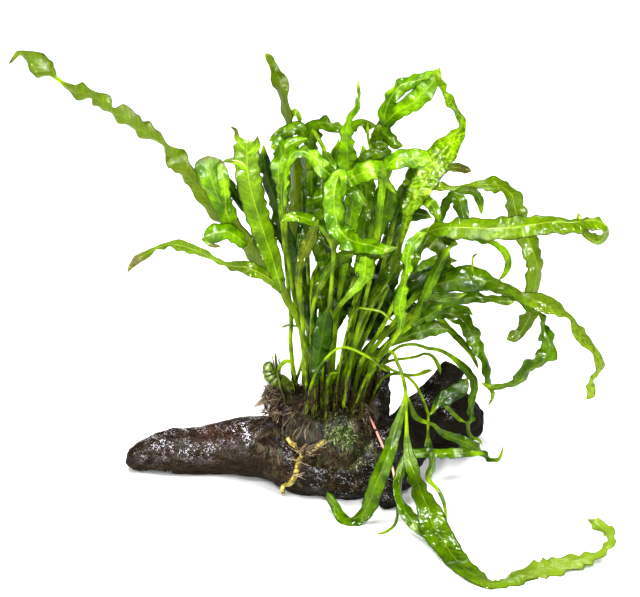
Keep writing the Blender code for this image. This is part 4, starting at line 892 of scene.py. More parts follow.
            (54, 122, 6), (58, 130, 5), (62, 137, 3), (67, 138.5, 1.5)], (6, -6, -16, -24, -28), 6),
        Lobe([(41, 95, 4), (49, 99, 6), (54, 102, 7), (58, 106, 2)], (-11, -20, -24), 7),
    ]),
    Frond("frond_low_olive", (12, 12), Tone.MID, [
        Lobe([(19, 74, 2.4), (28, 83, 3.5), (36, 87, 5), (46, 91, 8), (55, 93, 9), (63, 92, 2)],
            (12, 6, 0, -4), 9),
    ]),
    Frond("frond_low_diagonal", (-10, 6), Tone.MID, [
        Lobe([(-13, 80, 2.2), (-12, 104, 2.6), (-8, 116, 4), (-3, 125, 6), (4, 132, 7), (12, 134, 1.5)],
            (6, -2, -10, -18, -24), 7),
    ]),
    Frond("frond_dark_stub", (-9, 17), Tone.DARK, [
        Lobe([(-9, 75, 3), (-11, 90, 5), (-13, 102, 7), (-14, 110, 9), (-18, 117, 5)], (17, 15, 12), 9),
    ]),
    Frond("frond_mid_left", (-6, 12), Tone.MID, [
        Lobe([(-8, 80, 2.4), (-8, 96, 3), (-5.5, 107, 6), (-5, 118, 1.5)], (12, 8, 2), 6),
    ]),
    Frond("frond_low_broad", (-12, -4), Tone.DARK, [
        Lobe([(-11, 62, 4), (-9.5, 74, 8), (-7.5, 85, 10), (-6, 95, 10), (-4, 104, 2)], (-4, -10, -16, -20),
            10),
    ]),
    Frond("frond_dark_centre", (-4, 17), Tone.DARK, [
        Lobe([(0, 85, 2.4), (1, 104, 4), (3, 114, 6), (5, 124, 1.5)], (17, 15, 10), 6),
    ]),
    Frond("frond_thin_pale", (-2, -3), Tone.OLIVE, [
        Lobe([(3, 75, 1.8), (8, 96, 1.8), (12, 103.5, 1.8), (18, 103.5, 1.8), (25, 102, 1.8), (30, 98, 1.8),
            (34, 94, 1.2)], (-3, -10, -18, -26, -30), 2),
    ]),
    Frond("frond_front_down", (13, 0), Tone.MID, [
        Lobe([(17, 62, 2.5), (25, 78, 2.5), (31, 80, 2.5), (34, 74, 2.5), (36.5, 68, 2.5), (38.3, 60, 2.5),
            (38.7, 54, 2.5), (39, 40, 2.5), (39.5, 28, 5), (42, 17, 8), (46, 5, 8.5), (51, -6, 13),
            (54, -15.5, 16), (59.5, -24, 14), (64.5, -31.5, 12), (70, -37.5, 10), (76.5, -42, 8),
            (83, -45.5, 5), (90, -45.5, 4.4), (97.5, -43, 7), (105.5, -39.5, 8), (113.5, -38, 10),
            (121, -36.5, 9.5), (129, -34, 8.5), (137, -32, 6), (143.5, -29.5, 4.4), (148, -26, 3.4),
            (150, -22, 5.5), (148, -17.5, 6), (143.5, -14.5, 5), (139.5, -12, 3.6), (137, -11, 1.6)],
            (0, -12, -22, -32, -44, -60, -84, -98, -94, -80, -70), 14, ruffle=0.3, nicks=1.6,
            margin=Margin.TOOTHED, age=0.2, tip=Tip.PALE, tip_share=0.42),
        Lobe([(38.6, 55, 3), (36.5, 48, 4), (33.5, 38, 6), (30, 27, 7.5), (26, 16, 9), (22, 6, 9.5),
            (18.5, -4, 9), (14, -10, 7), (9, -12.5, 5.5), (4, -10.5, 5.5), (0.5, -5.5, 5.5), (-2, -1.5, 5),
            (-4.5, 3, 4)], (-27, -31, -35, -36, -31, -17), 10, -1, ruffle=0.3, nicks=0.3),
        Lobe([(39.5, 26, 5), (37, 18, 6), (34.5, 8, 4.5), (35.5, 0, 5), (38, -6, 7), (42, -12, 8),
            (47, -17, 7), (51, -21, 4)], (-39, -42, -48, -58, -66), 9, ruffle=0.3, nicks=0.3),
        Lobe([(39, 57, 3), (41.5, 50, 3), (43.5, 45, 4), (48, 42, 3), (54, 40, 2.5), (58, 36, 4),
            (65, 33, 5), (72, 30, 7), (78, 26.5, 6), (84, 22, 3), (88, 20, 2), (91, 22, 2),
            (92.5, 28, 1.2)], (-26, -21, -12, 0, 10, 14), 7),
        Lobe([(39.5, 26, 5), (48, 25, 5.5), (58, 24.5, 5), (68, 25, 6), (76, 24.5, 4), (82, 24, 1.5)],
            (-39, -36, -30, -24), 6),
        Lobe([(52, 24.5, 4), (53, 17, 4), (50.5, 12, 4), (52, 9, 3), (56, 5, 2), (59, -1, 2), (60.5, -8, 2),
            (60.5, -14, 1.2)], (-34, -38, -42, -48), 4),
        Lobe([(35.3, 0, 3), (34, -8, 2), (33.5, -13, 2), (30, -17, 2), (26, -19, 2), (22, -19.5, 1.2)],
            (-47, -50, -50), 2),
    ]),
    Frond("frond_over_limb", (18, 17), Tone.MID, [
        Lobe([(24, 70, 2.2), (34, 82, 2.2), (44, 84, 2.2), (50, 82, 2.4), (57, 81, 2.6), (63, 78, 3),
            (68, 74, 4), (73, 69, 4.5), (76.5, 63, 4.5), (76, 56, 4), (74.5, 50, 4), (75.5, 45, 4),
            (74, 41, 3), (73.5, 36, 2), (76, 32.5, 2), (80, 31, 2), (81.5, 28, 1.2)],
            (17, 18, 24, 28, 32, 34, 34), 5),
    ]),
    Frond("frond_limb_leaf", (17, 11), Tone.DARK, [
        Lobe([(25, 64, 2), (36, 68, 2), (44, 62, 2), (49, 52, 2), (52, 45, 2.5), (55, 50, 4), (59, 54, 8),
            (65, 57, 9), (70, 61, 8), (73, 66, 1.5)], (11, 6, 6, 10, 18, 22), 9),
        Lobe([(51, 47, 2), (51, 38, 2), (51, 33, 3), (51.5, 27, 5), (53, 20, 2)], (14, 8, 3, 0), 5),
        Lobe([(60, 54, 3), (64, 47, 3), (68, 43, 3), (72, 41, 1.5)], (21, 24, 26), 3),
    ]),
    Frond("frond_limb_thin", (13, 17), Tone.DARK, [
        Lobe([(19, 66, 2), (28, 74, 2), (37, 76, 2), (44, 77, 2), (50, 79, 2), (54, 77, 2.4), (57, 72, 3),
            (58, 67, 1.5)], (17, 18, 24, 34, 38), 3),
        Lobe([(27, 73, 2), (36, 68, 2), (44, 67, 2), (50, 69, 3), (54, 70, 1.5)], (19, 24, 32, 34), 3),
    ]),
    Frond("frond_arch_small", (-17, -3), Tone.OLIVE, [
        Lobe([(-13, 62, 2), (-7, 74, 2), (0, 81, 2), (6, 82.5, 2), (13, 80, 2), (20, 76, 2), (26, 71, 2),
            (30, 69, 1.2)], (-3, -12, -20, -22, -22), 2.4),
    ]),
    Frond("frond_rear_left", (-14, 27), Tone.DARK, [
        Lobe([(-15, 92, 2.6), (-18, 122, 5), (-21, 150, 9), (-24, 168, 8), (-26, 184, 1.5)],
            (27, 42, 60, 76, 88), 9),
    ]),
    Frond("frond_rear_tall", (-7, 28), Tone.MID, [
        Lobe([(-5, 95, 2.6), (-3, 130, 6), (0, 160, 10), (0, 182, 8), (2, 197, 1.5)], (28, 40, 56, 70, 78),
            10),
    ]),
    Frond("frond_rear_centre", (-1, 29), Tone.MID, [
        Lobe([(8, 95, 2.6), (14, 130, 6), (17, 158, 10), (17, 182, 8), (15, 194, 1.5)],
            (29, 42, 58, 68, 74), 10),
    ]),
    Frond("frond_rear_right", (4.5, 31.5), Tone.DARK, [
        Lobe([(16, 92, 2.6), (25, 120, 5), (32, 146, 10), (36, 164, 8), (40, 176, 1.5)],
            (31, 44, 64, 84, 98), 10),
    ]),
    Frond("frond_rear_far_right", (8, 34), Tone.MID, [
        Lobe([(9, 80, 2.6), (18, 98, 2.6), (34, 112, 5), (48, 124, 9), (58, 130, 7), (68, 130, 1.5)],
            (33, 38, 52, 68, 82, 94), 9),
    ]),
    Frond("frond_rear_droop", (-4, 33), Tone.MID, [
        Lobe([(-1, 92, 2.6), (3, 112, 5), (6, 126, 8), (8, 122, 9), (9, 108, 8), (9, 94, 1.5)],
            (33, 52, 76, 98, 112, 120), 9),
    ]),
    Frond("frond_rear_low_left", (-11, 33), Tone.DARK, [
        Lobe([(-13, 84, 2.4), (-15, 102, 5), (-16, 112, 8), (-17, 104, 8), (-17, 90, 1.5)],
            (33, 54, 78, 98, 108), 8),
    ]),
    Frond("frond_rear_low_right", (2, 34), Tone.DARK, [
        Lobe([(12, 88, 2.4), (24, 102, 5), (34, 108, 9), (42, 104, 8), (50, 96, 1.5)],
            (34, 52, 74, 96, 108), 9),
    ]),
    Frond("crozier_left", (-25, 9), Tone.BRIGHT, [
        Lobe([(-29, 60, 3), (-31, 68, 3), (-29.5, 73, 3), (-26, 75, 3), (-22.5, 73.5, 2)], (9, 7, 5), 3),
    ]),
    Frond("crozier_centre", (-6, -7), Tone.MID, [
        Lobe([(-4.5, 54, 2.5), (-4, 64, 2.5), (-1.5, 68.5, 2.2), (2, 68.5, 1.5)], (-8, -13, -16), 2.5),
    ]),
    Frond("sprout_left", (-30, 27), Tone.OLIVE, [
        Lobe([(-31.5, 66, 1.8), (-32.5, 75, 1.8), (-33, 80, 1.2)], (27, 28, 28), 1.8),
    ]),
]

# Small leaves that fill the crown, each grown from a frond.
SPRIGS = [
    Sprig("crown_wet_leaf", "frond_gloss_diagonal", Tone.BRIGHT, Lobe([(4, 171, 6), (10, 175, 10),
        (17, 178, 12), (24, 179, 10), (28, 175, 3)], (-20, -28, -30, -30), 12)),
    Sprig("crown_small_tip", "frond_gloss_diagonal", Tone.BRIGHT, Lobe([(0, 176, 5), (-3, 184, 6),
        (-7, 190, 2)], (-20, -24, -20), 6)),
    Sprig("upper_side_leaf", "frond_upper_arch", Tone.MID, Lobe([(27, 184, 6), (23, 191, 8), (23, 198, 7),
        (24, 204, 3)], (12, 6, 2), 8)),
    Sprig("upper_thin_stem", "frond_top_flat", Tone.BRIGHT, Lobe([(17, 204, 2), (18, 196, 2), (20, 188, 2)],
        (8, 2, 0), 2)),
    Sprig("crown_middle", "frond_centre_pointed", Tone.MID, Lobe([(10, 172, 6), (14, 182, 8), (20, 187, 7),
        (28, 188, 2)], (0, -10, -14), 8)),
    Sprig("crown_under_speckled", "frond_dark_bowl", Tone.MID, Lobe([(37, 154, 5), (40, 165, 9),
        (43, 174, 11), (42, 182, 3)], (5, 0, -2), 11, speckle=0.3)),
    Sprig("bowl_bright_top", "frond_dark_bowl", Tone.BRIGHT, Lobe([(36, 158, 4), (42, 163, 6), (49, 163, 6),
        (54, 158, 6), (57, 150, 3)], (-8, -14, -18), 7)),
    Sprig("right_dark_wet", "frond_right_straight", Tone.MID, Lobe([(46, 143, 5), (52, 145, 7),
        (58, 142, 7), (67, 139, 2)], (-20, -26, -28), 7)),
    Sprig("right_olive_knot", "frond_mid_leaf", Tone.MID, Lobe([(46, 143, 5), (54, 139, 8), (59, 134, 7),
        (62, 126, 3)], (-38, -30, -20), 8, age=0.3)),
    Sprig("right_back_fill", "frond_rear_far_right", Tone.DARK, Lobe([(40, 117, 5), (50, 121, 9),
        (60, 124, 9), (70, 122, 3)], (60, 50, 45), 10)),
    Sprig("petiole_leaf_right", "frond_midrib", Tone.MID, Lobe([(17, 106, 4), (23, 113, 6), (29, 122, 7),
        (33, 131, 6), (36, 139, 2)], (2, -5, -8), 7)),
    Sprig("petiole_leaf_dark", "frond_rear_centre", Tone.DARK, Lobe([(12, 96, 4), (16, 106, 7),
        (18, 116, 8), (17, 127, 3)], (30, 20, 18), 9)),
    Sprig("low_left_leaf", "frond_mid_left", Tone.MID, Lobe([(-7, 102, 4), (-8, 114, 8), (-6, 124, 8),
        (-3, 134, 3)], (6, 2, 0), 9)),
    Sprig("low_centre_leaf", "frond_dark_centre", Tone.MID, Lobe([(1, 103, 4), (3, 114, 8), (4, 124, 9),
        (8, 134, 4)], (14, 8, 6), 9)),
    Sprig("behind_centre", "frond_small_arch", Tone.MID, Lobe([(-3, 141, 4), (-7, 152, 7), (-8, 164, 8),
        (-7, 174, 6), (-10, 180, 2)], (-10, 0, 4), 8)),
    Sprig("mid_right_leaf", "frond_mid_leaf", Tone.MID, Lobe([(38, 120, 5), (42, 130, 8), (45, 139, 8),
        (51, 148, 3)], (-34, -26, -24), 9)),
    Sprig("left_of_centre", "frond_small_arch", Tone.MID, Lobe([(-3, 138, 4), (-10, 148, 7), (-12, 162, 8),
        (-13, 175, 7), (-15, 184, 2)], (0, 6, 8), 8)),
    Sprig("below_arch", "frond_small_arch", Tone.MID, Lobe([(-2, 118, 4), (-7, 130, 7), (-9, 141, 7),
        (-7, 151, 2)], (2, 8, 8), 8)),
    Sprig("dark_between", "frond_dark_centre", Tone.DARK, Lobe([(1, 92, 3), (4, 102, 6), (7, 112, 7),
        (10, 121, 2)], (17, 18, 18), 8)),
    Sprig("dark_right_of_middle", "frond_rear_centre", Tone.DARK, Lobe([(13, 104, 4), (25, 110, 7),
        (31, 118, 7), (36, 129, 2)], (34, 34, 30), 8)),
    Sprig("small_curled_tip", "frond_spoon", Tone.BRIGHT, Lobe([(17, 128, 5), (22, 132, 4), (27, 133, 3),
        (30, 132, 1.5)], (-30, -28, -26), 5)),
    Sprig("thin_stalk_1", "frond_bright_pair", Tone.OLIVE, Lobe([(-20, 60, 2), (-18, 75, 2), (-14, 93, 2),
        (-10, 112, 2.4), (-8, 124, 1.5)], (14, 18, 16, 14), 2.4)),
    Sprig("thin_stalk_2", "frond_low_broad", Tone.OLIVE, Lobe([(-6, 60, 2), (-9, 76, 2), (-12, 92, 2),
        (-13, 110, 2.4), (-11, 122, 4), (-8, 130, 1.5)], (2, 6, 8, 8), 5)),
    Sprig("thin_stalk_3", "frond_bright_level", Tone.MID, Lobe([(9, 62, 2), (7, 80, 2), (9, 98, 2),
        (14, 116, 3), (17, 128, 5), (20, 136, 1.5)], (4, 8, 8, 8), 6)),
    Sprig("thin_stalk_4", "frond_centre_c", Tone.BRIGHT, Lobe([(-1, 62, 2), (5, 78, 2), (14, 96, 2),
        (23, 114, 2), (28, 128, 1.5)], (2, 0, -2, -4), 2.2)),
    Sprig("thin_stalk_5", "frond_mid_leaf", Tone.OLIVE, Lobe([(13, 62, 2), (22, 76, 2), (34, 92, 2),
        (44, 102, 4), (52, 109, 5), (60, 112, 1.5)], (0, -2, -6, -8), 6)),
    Sprig("thin_stalk_6", "frond_small_arch", Tone.MID, Lobe([(-12, 62, 2), (-7, 80, 2), (1, 100, 2),
        (9, 116, 3), (14, 124, 5), (17, 133, 1.5)], (10, 10, 8, 6), 6)),
    # Deep green leaves behind the petioles, set there as painted shade in the gaps between them.
    Sprig("dark_fill_1", "frond_rear_low_right", Tone.DARK, Lobe([(10, 86, 4), (15, 98, 8), (20, 110, 9),
        (24, 122, 8), (28, 134, 3)], (40, 44, 44, 40), 10)),
    Sprig("dark_fill_2", "frond_rear_right", Tone.DARK, Lobe([(14, 88, 4), (24, 98, 8), (34, 108, 9),
        (44, 116, 8), (52, 124, 3)], (36, 40, 40, 40), 10)),
    Sprig("dark_fill_3", "frond_rear_droop", Tone.DARK, Lobe([(0, 94, 4), (-3, 108, 8), (-4, 122, 9),
        (-3, 136, 8), (0, 148, 3)], (40, 44, 44, 40), 10)),
    Sprig("dark_fill_4", "frond_rear_far_right", Tone.DARK, Lobe([(12, 86, 3), (26, 90, 6), (40, 96, 8),
        (54, 104, 8), (64, 112, 3)], (38, 40, 42, 40), 9)),
    Sprig("right_twig", "frond_right_mid", Tone.DARK, Lobe([(73, 126, 1.6), (75, 132, 1.6), (78, 134, 1.2)],
        (-30, -32, -30), 1.6)),
    Sprig("left_twig", "frond_rear_low_left", Tone.DARK, Lobe([(-18, 92, 1.6), (-24, 94, 1.8),
        (-27, 94.5, 1.8), (-30, 93, 1.2)], (100, 90, 80), 1.8)),
]


# --- Leaves: their fine shape and finish --------------------------------------------------------

@dataclass(frozen=True)
class LeafFinish:
    """Living fern leaf: a thin waxy skin, lit through, under a film of water.

    The water gives small broken glints, and the light that comes through gives the yellow-green.
    """

    name: str
    fresh: str
    deep: str
    vein: str
    lit_through: str
    aged: str = "#62720a"
    spotted: str = "#565a10"
    stalk: str = "#96b412"
    stalk_shade: str = "#56700a"
    stalk_foot: str = "#4a3d12"
    margin: str = "#1f4204"
    old_margin: str = "#42360e"
    bleached: str = "#8aa034"
    decay: str = "#5a4c2a"
    through_share: float = 0.36
    blotch_mm: float = 9.0
    cell_mm: float = 1.7
    buckle_mm: float = 2.4
    relief_mm: float = 0.32
    vein_spacing_mm: float = 3.6
    vein_slant: float = -0.9
    refraction: float = 1.33

    def material(self) -> bpy.types.Material:
        """Build the leaf's material from its place along and across the blade.

        Returns:
            The material.
        """
        material, tree = blank_material(self.name)
        spot = add_node(tree, "TexCoord").outputs["Object"]
        place, state, look = (add_node(tree, "Attribute", attribute_name=name)
                              for name in ("leaf_place", "leaf_state", "leaf_look"))
        along, aside, share = add_node(tree, "SeparateXYZ", (place.outputs["Vector"],)).outputs
        stalk, decay, pale = add_node(tree, "SeparateColor", (state,)).outputs
        age, speckle, foot = add_node(tree, "SeparateColor", (look,)).outputs
        blotch, cells, buckles = (
            add_node(tree, "TexNoise", {"Vector": spot, "Scale": 1 / (size * MM), "Detail": detail})
            for size, detail in ((self.blotch_mm, 3.0), (self.cell_mm, 1.0), (self.buckle_mm, 1.0)))
        shade, meshed, spots, flecks, streak, patchy, film = (
            add_node(tree, "MapRange", levels)
            for levels in ((blotch, 0.34, 0.62, 0.0, 1.0), (cells, 0.36, 0.6, 0.45, 0.0),
                           (cells, 0.44, 0.36, 0.0, 0.65), (cells, 0.52, 0.6, 0.0, 0.6),
                           (blotch, 0.4, 0.6, 0.0, 1.0), (cells, 0.35, 0.6, 0.3, 1.2),
                           (cells, 0.38, 0.62, 0.03, 0.12)))
        # Side veins leave the midrib at a slant, evenly spaced; the midrib is plainer on old leaves.
        off, edge = (add_node(tree, "Math", (value,), operation="ABSOLUTE") for value in (aside, share))
        slant = add_node(tree, "Math", (off, self.vein_slant, along), operation="MULTIPLY_ADD")
        bent = add_node(tree, "Math", (blotch, 6.0, slant), operation="MULTIPLY_ADD")
        turn = add_node(tree, "Math", (bent, 2 * math.pi / self.vein_spacing_mm), operation="MULTIPLY")
        wave = add_node(tree, "Math", (turn,), operation="SINE")
        side_vein = add_node(tree, "MapRange", (wave, 0.82, 1.0, 0.0, 0.16))
        plainer = add_node(tree, "MapRange", (age, 0.65, 0.85, 0.38, 0.08))
        midrib = add_node(tree, "MapRange", (off, 0.2, 0.55, plainer, 0.0))
        veins = add_node(tree, "Math", (side_vein, midrib), operation="MAXIMUM")
        # The margin is darker, and brown on an old or a bleached blade.
        rim = add_node(tree, "MapRange", (edge, 0.82, 0.97, 0.0, 0.7))
        old = add_node(tree, "Math", (age, 0.8, pale), operation="MULTIPLY_ADD", use_clamp=True)
        rim_colour = add_node(tree, "Mix", {0: old, MIX_A: self.margin, MIX_B: self.old_margin},
                              data_type="RGBA")
        inner = add_node(tree, "Math", (pale, rim), operation="SUBTRACT", use_clamp=True)
        # Old blades are mottled with pale cells and dark spots, and decay is patchy.
        dark, light, rot = (
            add_node(tree, "Math", pair, operation="MULTIPLY", use_clamp=True)
            for pair in ((spots, speckle), (flecks, speckle), (decay, patchy)))
        # Petioles are lighter in streaks, and brown where they leave the roots.
        stem = add_node(tree, "Mix", {0: streak, MIX_A: self.stalk_shade, MIX_B: self.stalk},
                        data_type="RGBA")
        stem = add_node(tree, "Mix", {0: foot, MIX_A: stem, MIX_B: self.stalk_foot}, data_type="RGBA")
        colour = self.deep
        for strength, layer in ((shade, self.fresh), (meshed, self.deep), (age, self.aged),
                                (veins, self.vein), (rim, rim_colour), (inner, self.bleached),
                                (dark, self.spotted), (light, self.vein), (stalk, stem), (rot, self.decay)):
            colour = add_node(tree, "Mix", {0: strength, MIX_A: colour, MIX_B: layer}, data_type="RGBA")
        relief = add_node(tree, "Math", (veins, buckles), operation="ADD")
        skin = add_node(tree, "Bump", {"Height": relief, "Distance": self.relief_mm * MM, "Strength": 1.0})
        waxy = add_node(tree, "BsdfPrincipled", {"Base Color": colour, "Roughness": film,
                                                 "IOR": self.refraction, "Normal": skin})
        lit = add_node(tree, "Math", (rim, -0.45, 0.4), operation="MULTIPLY_ADD", use_clamp=True)
        glow = add_node(tree, "Mix", {0: lit, MIX_A: colour, MIX_B: self.lit_through}, data_type="RGBA")
        through = add_node(tree, "BsdfTranslucent", {"Color": glow, "Normal": skin})
        both = add_node(tree, "MixShader", (self.through_share, waxy, through))
        add_node(tree, "OutputMaterial", {"Surface": both})
        return material


# The bright, mid and deep finishes are partly painted light and shade: each frond takes a finish by how lit
# it is, as well as by its age.
LEAF_FINISHES = {
    Tone.BRIGHT: LeafFinish("bright wet fern leaf", "#98c404", "#467200", "#c8d848", "#c8e000"),
    Tone.MID: LeafFinish("green wet fern leaf", "#6e9200", "#304e00", "#90a828", "#a4c000"),
    Tone.DARK: LeafFinish("deep green wet fern leaf", "#466a04", "#203c00", "#6e8c20", "#789c00"),
    Tone.OLIVE: LeafFinish("olive wet fern leaf", "#76860e", "#3c4c00", "#a0a03a", "#a8b400"),
}


@dataclass(frozen=True)
class BladeShape:
    """The cross-section of a leaf and how its margins wave, in millimetres or as shares."""

    across: tuple = (-1.0, -0.9, -0.68, -0.4, -0.13, 0.0, 0.13, 0.4, 0.68, 0.9, 1.0)
    step: float = 1.3
    blade_wall: float = 0.42
    stalk_wall_share: float = 0.85
    thickest_share: float = 0.8
    midrib: float = 0.5
    midrib_half_share: float = 0.1
    midrib_fade: float = 20.0
    widest_stalk: float = 3.1
    full_blade: float = 4.7
    slimmer_stalk: float = 0.2
    round_end: float = 3.0
    channel: float = 0.14
    channel_swell: float = 40.0
    ruffle_period: float = 10.5
    ruffle_height: float = 1.9
    ruffle_swell: float = 24.0
    ruffle_from: float = 1.6
    margin_drift: float = 17.0
    fraying: float = 4.0
    tooth_spacing: float = 8.5
    tooth_depth: float = 1.0
    tooth_peak: float = 0.72
    buckle: float = 0.5
    buckle_size: float = 5.5
    brown_foot: float = 9.0
    pale_end: float = 14.0
    floor_skin: float = 0.15

    def ring(self) -> tuple[np.ndarray, np.ndarray]:
        """Give the places round a section, out along its front and home along its back.

        Returns:
            For each place how far aside it is, from -1 to 1, and which face it is on, 1 or -1
            (0 at the two margins).
        """
        front = np.array(self.across)
        home = front[-2:0:-1]
        aside = np.concatenate([front, home, front[:1]])
        sides = np.concatenate([[0.0], np.ones(len(front) - 2), [0.0], -np.ones(len(home)), [0.0]])
        return aside, sides

    def tooth_line(self, margin: Margin, turn: np.ndarray) -> np.ndarray:
        """Draw the line of a margin, as a share of the depth of its teeth.

        Args:
            margin: which kind it is.
            turn: how far each place is from one tooth to the next, from 0 to 1.

        Returns:
            How far out the margin is at each place.
        """
        if margin is Margin.WAVY:
            return 0.35 * np.sin(2 * math.pi * turn)
        if margin is Margin.SCALLOPED:
            return 1.3 * np.abs(np.sin(math.pi * turn)) ** 0.8 - 0.8
        peak = self.tooth_peak
        return np.where(turn < peak, turn / peak, (1.0 - turn) / (1.0 - peak)) * 2.6 - 1.0


BLADE = BladeShape()


class FineLobe:
    """One lobe's fine blade or stalk: a grid rolled up into a flat tube, station by station."""

    def __init__(self, ribbon: Ribbon, seed: float) -> None:
        """Work out where each station is, how wide it is and how much of it is blade.

        Args:
            ribbon: how the lobe lies.
            seed: tells its waves from another lobe's.
        """
        self.lobe = ribbon.lobe
        self.seed = seed
        self.rooted = ribbon.grip == ROOT_GRIP
        rows = refine(np.array([[*row[0], *row[2], *row[3], row[4]] for row in ribbon.frames()]),
                      BLADE.step / SETTLE_SPACING)
        self.centre, side, face = rows[:, 0:3], rows[:, 3:6], rows[:, 6:9]
        self.side = side / np.linalg.norm(side, axis=1)[:, None]
        face = face - self.side * np.sum(face * self.side, axis=1)[:, None]
        self.face = face / np.linalg.norm(face, axis=1)[:, None]
        self.along = distances(self.centre)
        self.left = self.along[-1] - self.along
        self.width = np.maximum(rows[:, 9], TIP_THICKNESS) * resampled(self.lobe.waist, len(rows))
        self.blade = smooth_step(self.width, BLADE.widest_stalk, BLADE.full_blade)
        self.width *= (np.sqrt(np.clip(self.left / BLADE.round_end, 0.02, 1.0))
                       * (1.0 - BLADE.slimmer_stalk * (1.0 - self.blade)))
        tip = max(1.0, self.lobe.tip_share * self.along[-1])
        self.ending = 1.0 - smooth_step(self.left, 0.25 * tip, tip)
        self.aside, self.faces = BLADE.ring()
        self.edge = np.abs(self.aside)[None, :]

    def wave_margins(self) -> tuple[np.ndarray, np.ndarray]:
        """Ruffle both margins and cut their scallops or teeth.

        Returns:
            How high each point stands off the blade's middle plane, and half the blade's width there.
        """
        lobe, along, width, blade, seed = self.lobe, self.along, self.width, self.blade, self.seed
        swell = 0.6 + 0.8 * np.clip(wander(seed, along, BLADE.ruffle_swell), -0.6, 0.8)
        ragged = lobe.nicks * ((0.05 + 0.95 * self.ending) if lobe.tip is Tip.PALE else 1.0)
        height = np.zeros((len(along), len(self.aside)))
        reach = np.tile(0.5 * width[:, None], (1, len(self.aside)))
        for margin in (-1.0, 1.0):
            here = (self.aside * margin > 0.0)[None, :]
            drift = wander(seed + 3.0 * margin, along, BLADE.margin_drift)
            phase = 2 * math.pi * along / BLADE.ruffle_period + 2.6 * drift + seed * 2.1 + margin
            wave = lobe.ruffle * BLADE.ruffle_height * swell * np.clip(width / 9.0, 0.0, 1.3) * np.sin(phase)
            height += np.where(here, (blade * wave)[:, None] * self.edge ** BLADE.ruffle_from, 0.0)
            turn = (along / BLADE.tooth_spacing + 0.4 * drift + 0.17 * seed + 0.25 * margin) % 1.0
            bite = ragged * BLADE.tooth_depth * BLADE.tooth_line(lobe.margin, turn)
            bite = bite + 0.3 * wander(seed - 5.0 * margin, along, BLADE.fraying)
            bite *= blade * np.clip(width / 8.0, 0.0, 1.0)
            reach += np.where(here, bite[:, None], 0.0)
        return height, reach

    def buckle(self, height: np.ndarray) -> None:
        """Cup the blade along its midrib and buckle it.

        Args:
            height: how high each point stands, which this changes.
        """
        cup = BLADE.channel * (0.5 + 0.9 * wander(self.seed + 9.0, self.along, BLADE.channel_swell))
        height += (self.blade * cup * self.width)[:, None] * (self.edge ** 2 - 0.35)
        for row, place in enumerate(self.along):
            for column, share in enumerate(self.aside):
                spot = Vector((place / BLADE.buckle_size, share * self.width[row] / (2.0 * BLADE.buckle_size),
                               self.seed))
                height[row, column] += BLADE.buckle * self.blade[row] * noise.noise(spot)

    def half_walls(self) -> np.ndarray:
        """Say how thick the leaf is round its middle plane: round on a stalk, flat with a midrib on a blade.

        Returns:
            Half the thickness at each point.
        """
        wall = np.minimum(self.width, PETIOLE_THICKNESS) * BLADE.stalk_wall_share
        wall = BLADE.blade_wall + (wall - BLADE.blade_wall) * (1.0 - self.blade)
        wall = np.minimum(wall, BLADE.thickest_share * self.width)
        crest = np.exp(-(self.aside / BLADE.midrib_half_share) ** 2)
        fade = np.clip(self.left[:, None] / BLADE.midrib_fade, 0.0, 1.0)
        rib = 1.0 + BLADE.midrib * crest * fade / BLADE.blade_wall
        stalk = np.sqrt(np.clip(1.0 - self.aside ** 2, 0.0, 1.0))[None, :]
        flat = rib * np.clip((1.0 - self.edge) * 6.0, 0.0, 1.0)
        return 0.5 * wall[:, None] * (stalk * (1.0 - self.blade[:, None]) + flat * self.blade[:, None])

    def add_to(self, body: bmesh.types.BMesh) -> None:
        """Add the lobe to a leaf's mesh, with the state and the look of each point.

        Args:
            body: the leaf's mesh, in millimetres.
        """
        lobe, along, aside = self.lobe, self.along, self.aside
        height, reach = self.wave_margins()
        self.buckle(height)
        lift = height + self.faces[None, :] * self.half_walls()
        places = self.centre[:, None, :] + self.side[:, None, :] * (reach * aside[None, :])[:, :, None]
        places = places + self.face[:, None, :] * lift[:, :, None]
        places[:, :, 2] -= (places[:, :, 2] - BLADE.floor_skin).clip(max=0.0)
        foot = 0.9 * (1.0 - smooth_step(along, BLADE.brown_foot, 2.6 * BLADE.brown_foot)) * self.rooted
        plain = np.ones_like(along)
        speckle = lobe.speckle * (self.ending if lobe.tip is Tip.PALE else plain)
        decay = self.ending if lobe.tip is Tip.BROWN else 0.0 * plain
        pale = 0.12 * (1.0 - smooth_step(self.left, 0.0, BLADE.pale_end)) * self.blade
        pale = self.ending if lobe.tip is Tip.PALE else pale
        made = bmesh.ops.create_grid(body, x_segments=len(along) - 1, y_segments=len(aside) - 1,
                                     size=1.0)["verts"]
        where = body.verts.layers.float_vector["leaf_place"]
        state = body.verts.layers.float_color["leaf_state"]
        look = body.verts.layers.float_color["leaf_look"]
        for vert in made:
            row = round((vert.co.x + 1.0) / 2.0 * (len(along) - 1))
            column = round((vert.co.y + 1.0) / 2.0 * (len(aside) - 1))
            vert.co = places[row, column]
            vert[where] = (along[row], reach[row, column] * aside[column], aside[column])
            vert[state] = (1.0 - self.blade[row], decay[row], pale[row], 1.0)
            vert[look] = (lobe.age, speckle[row], foot[row], 1.0)
        bmesh.ops.remove_doubles(body, verts=made, dist=0.002)


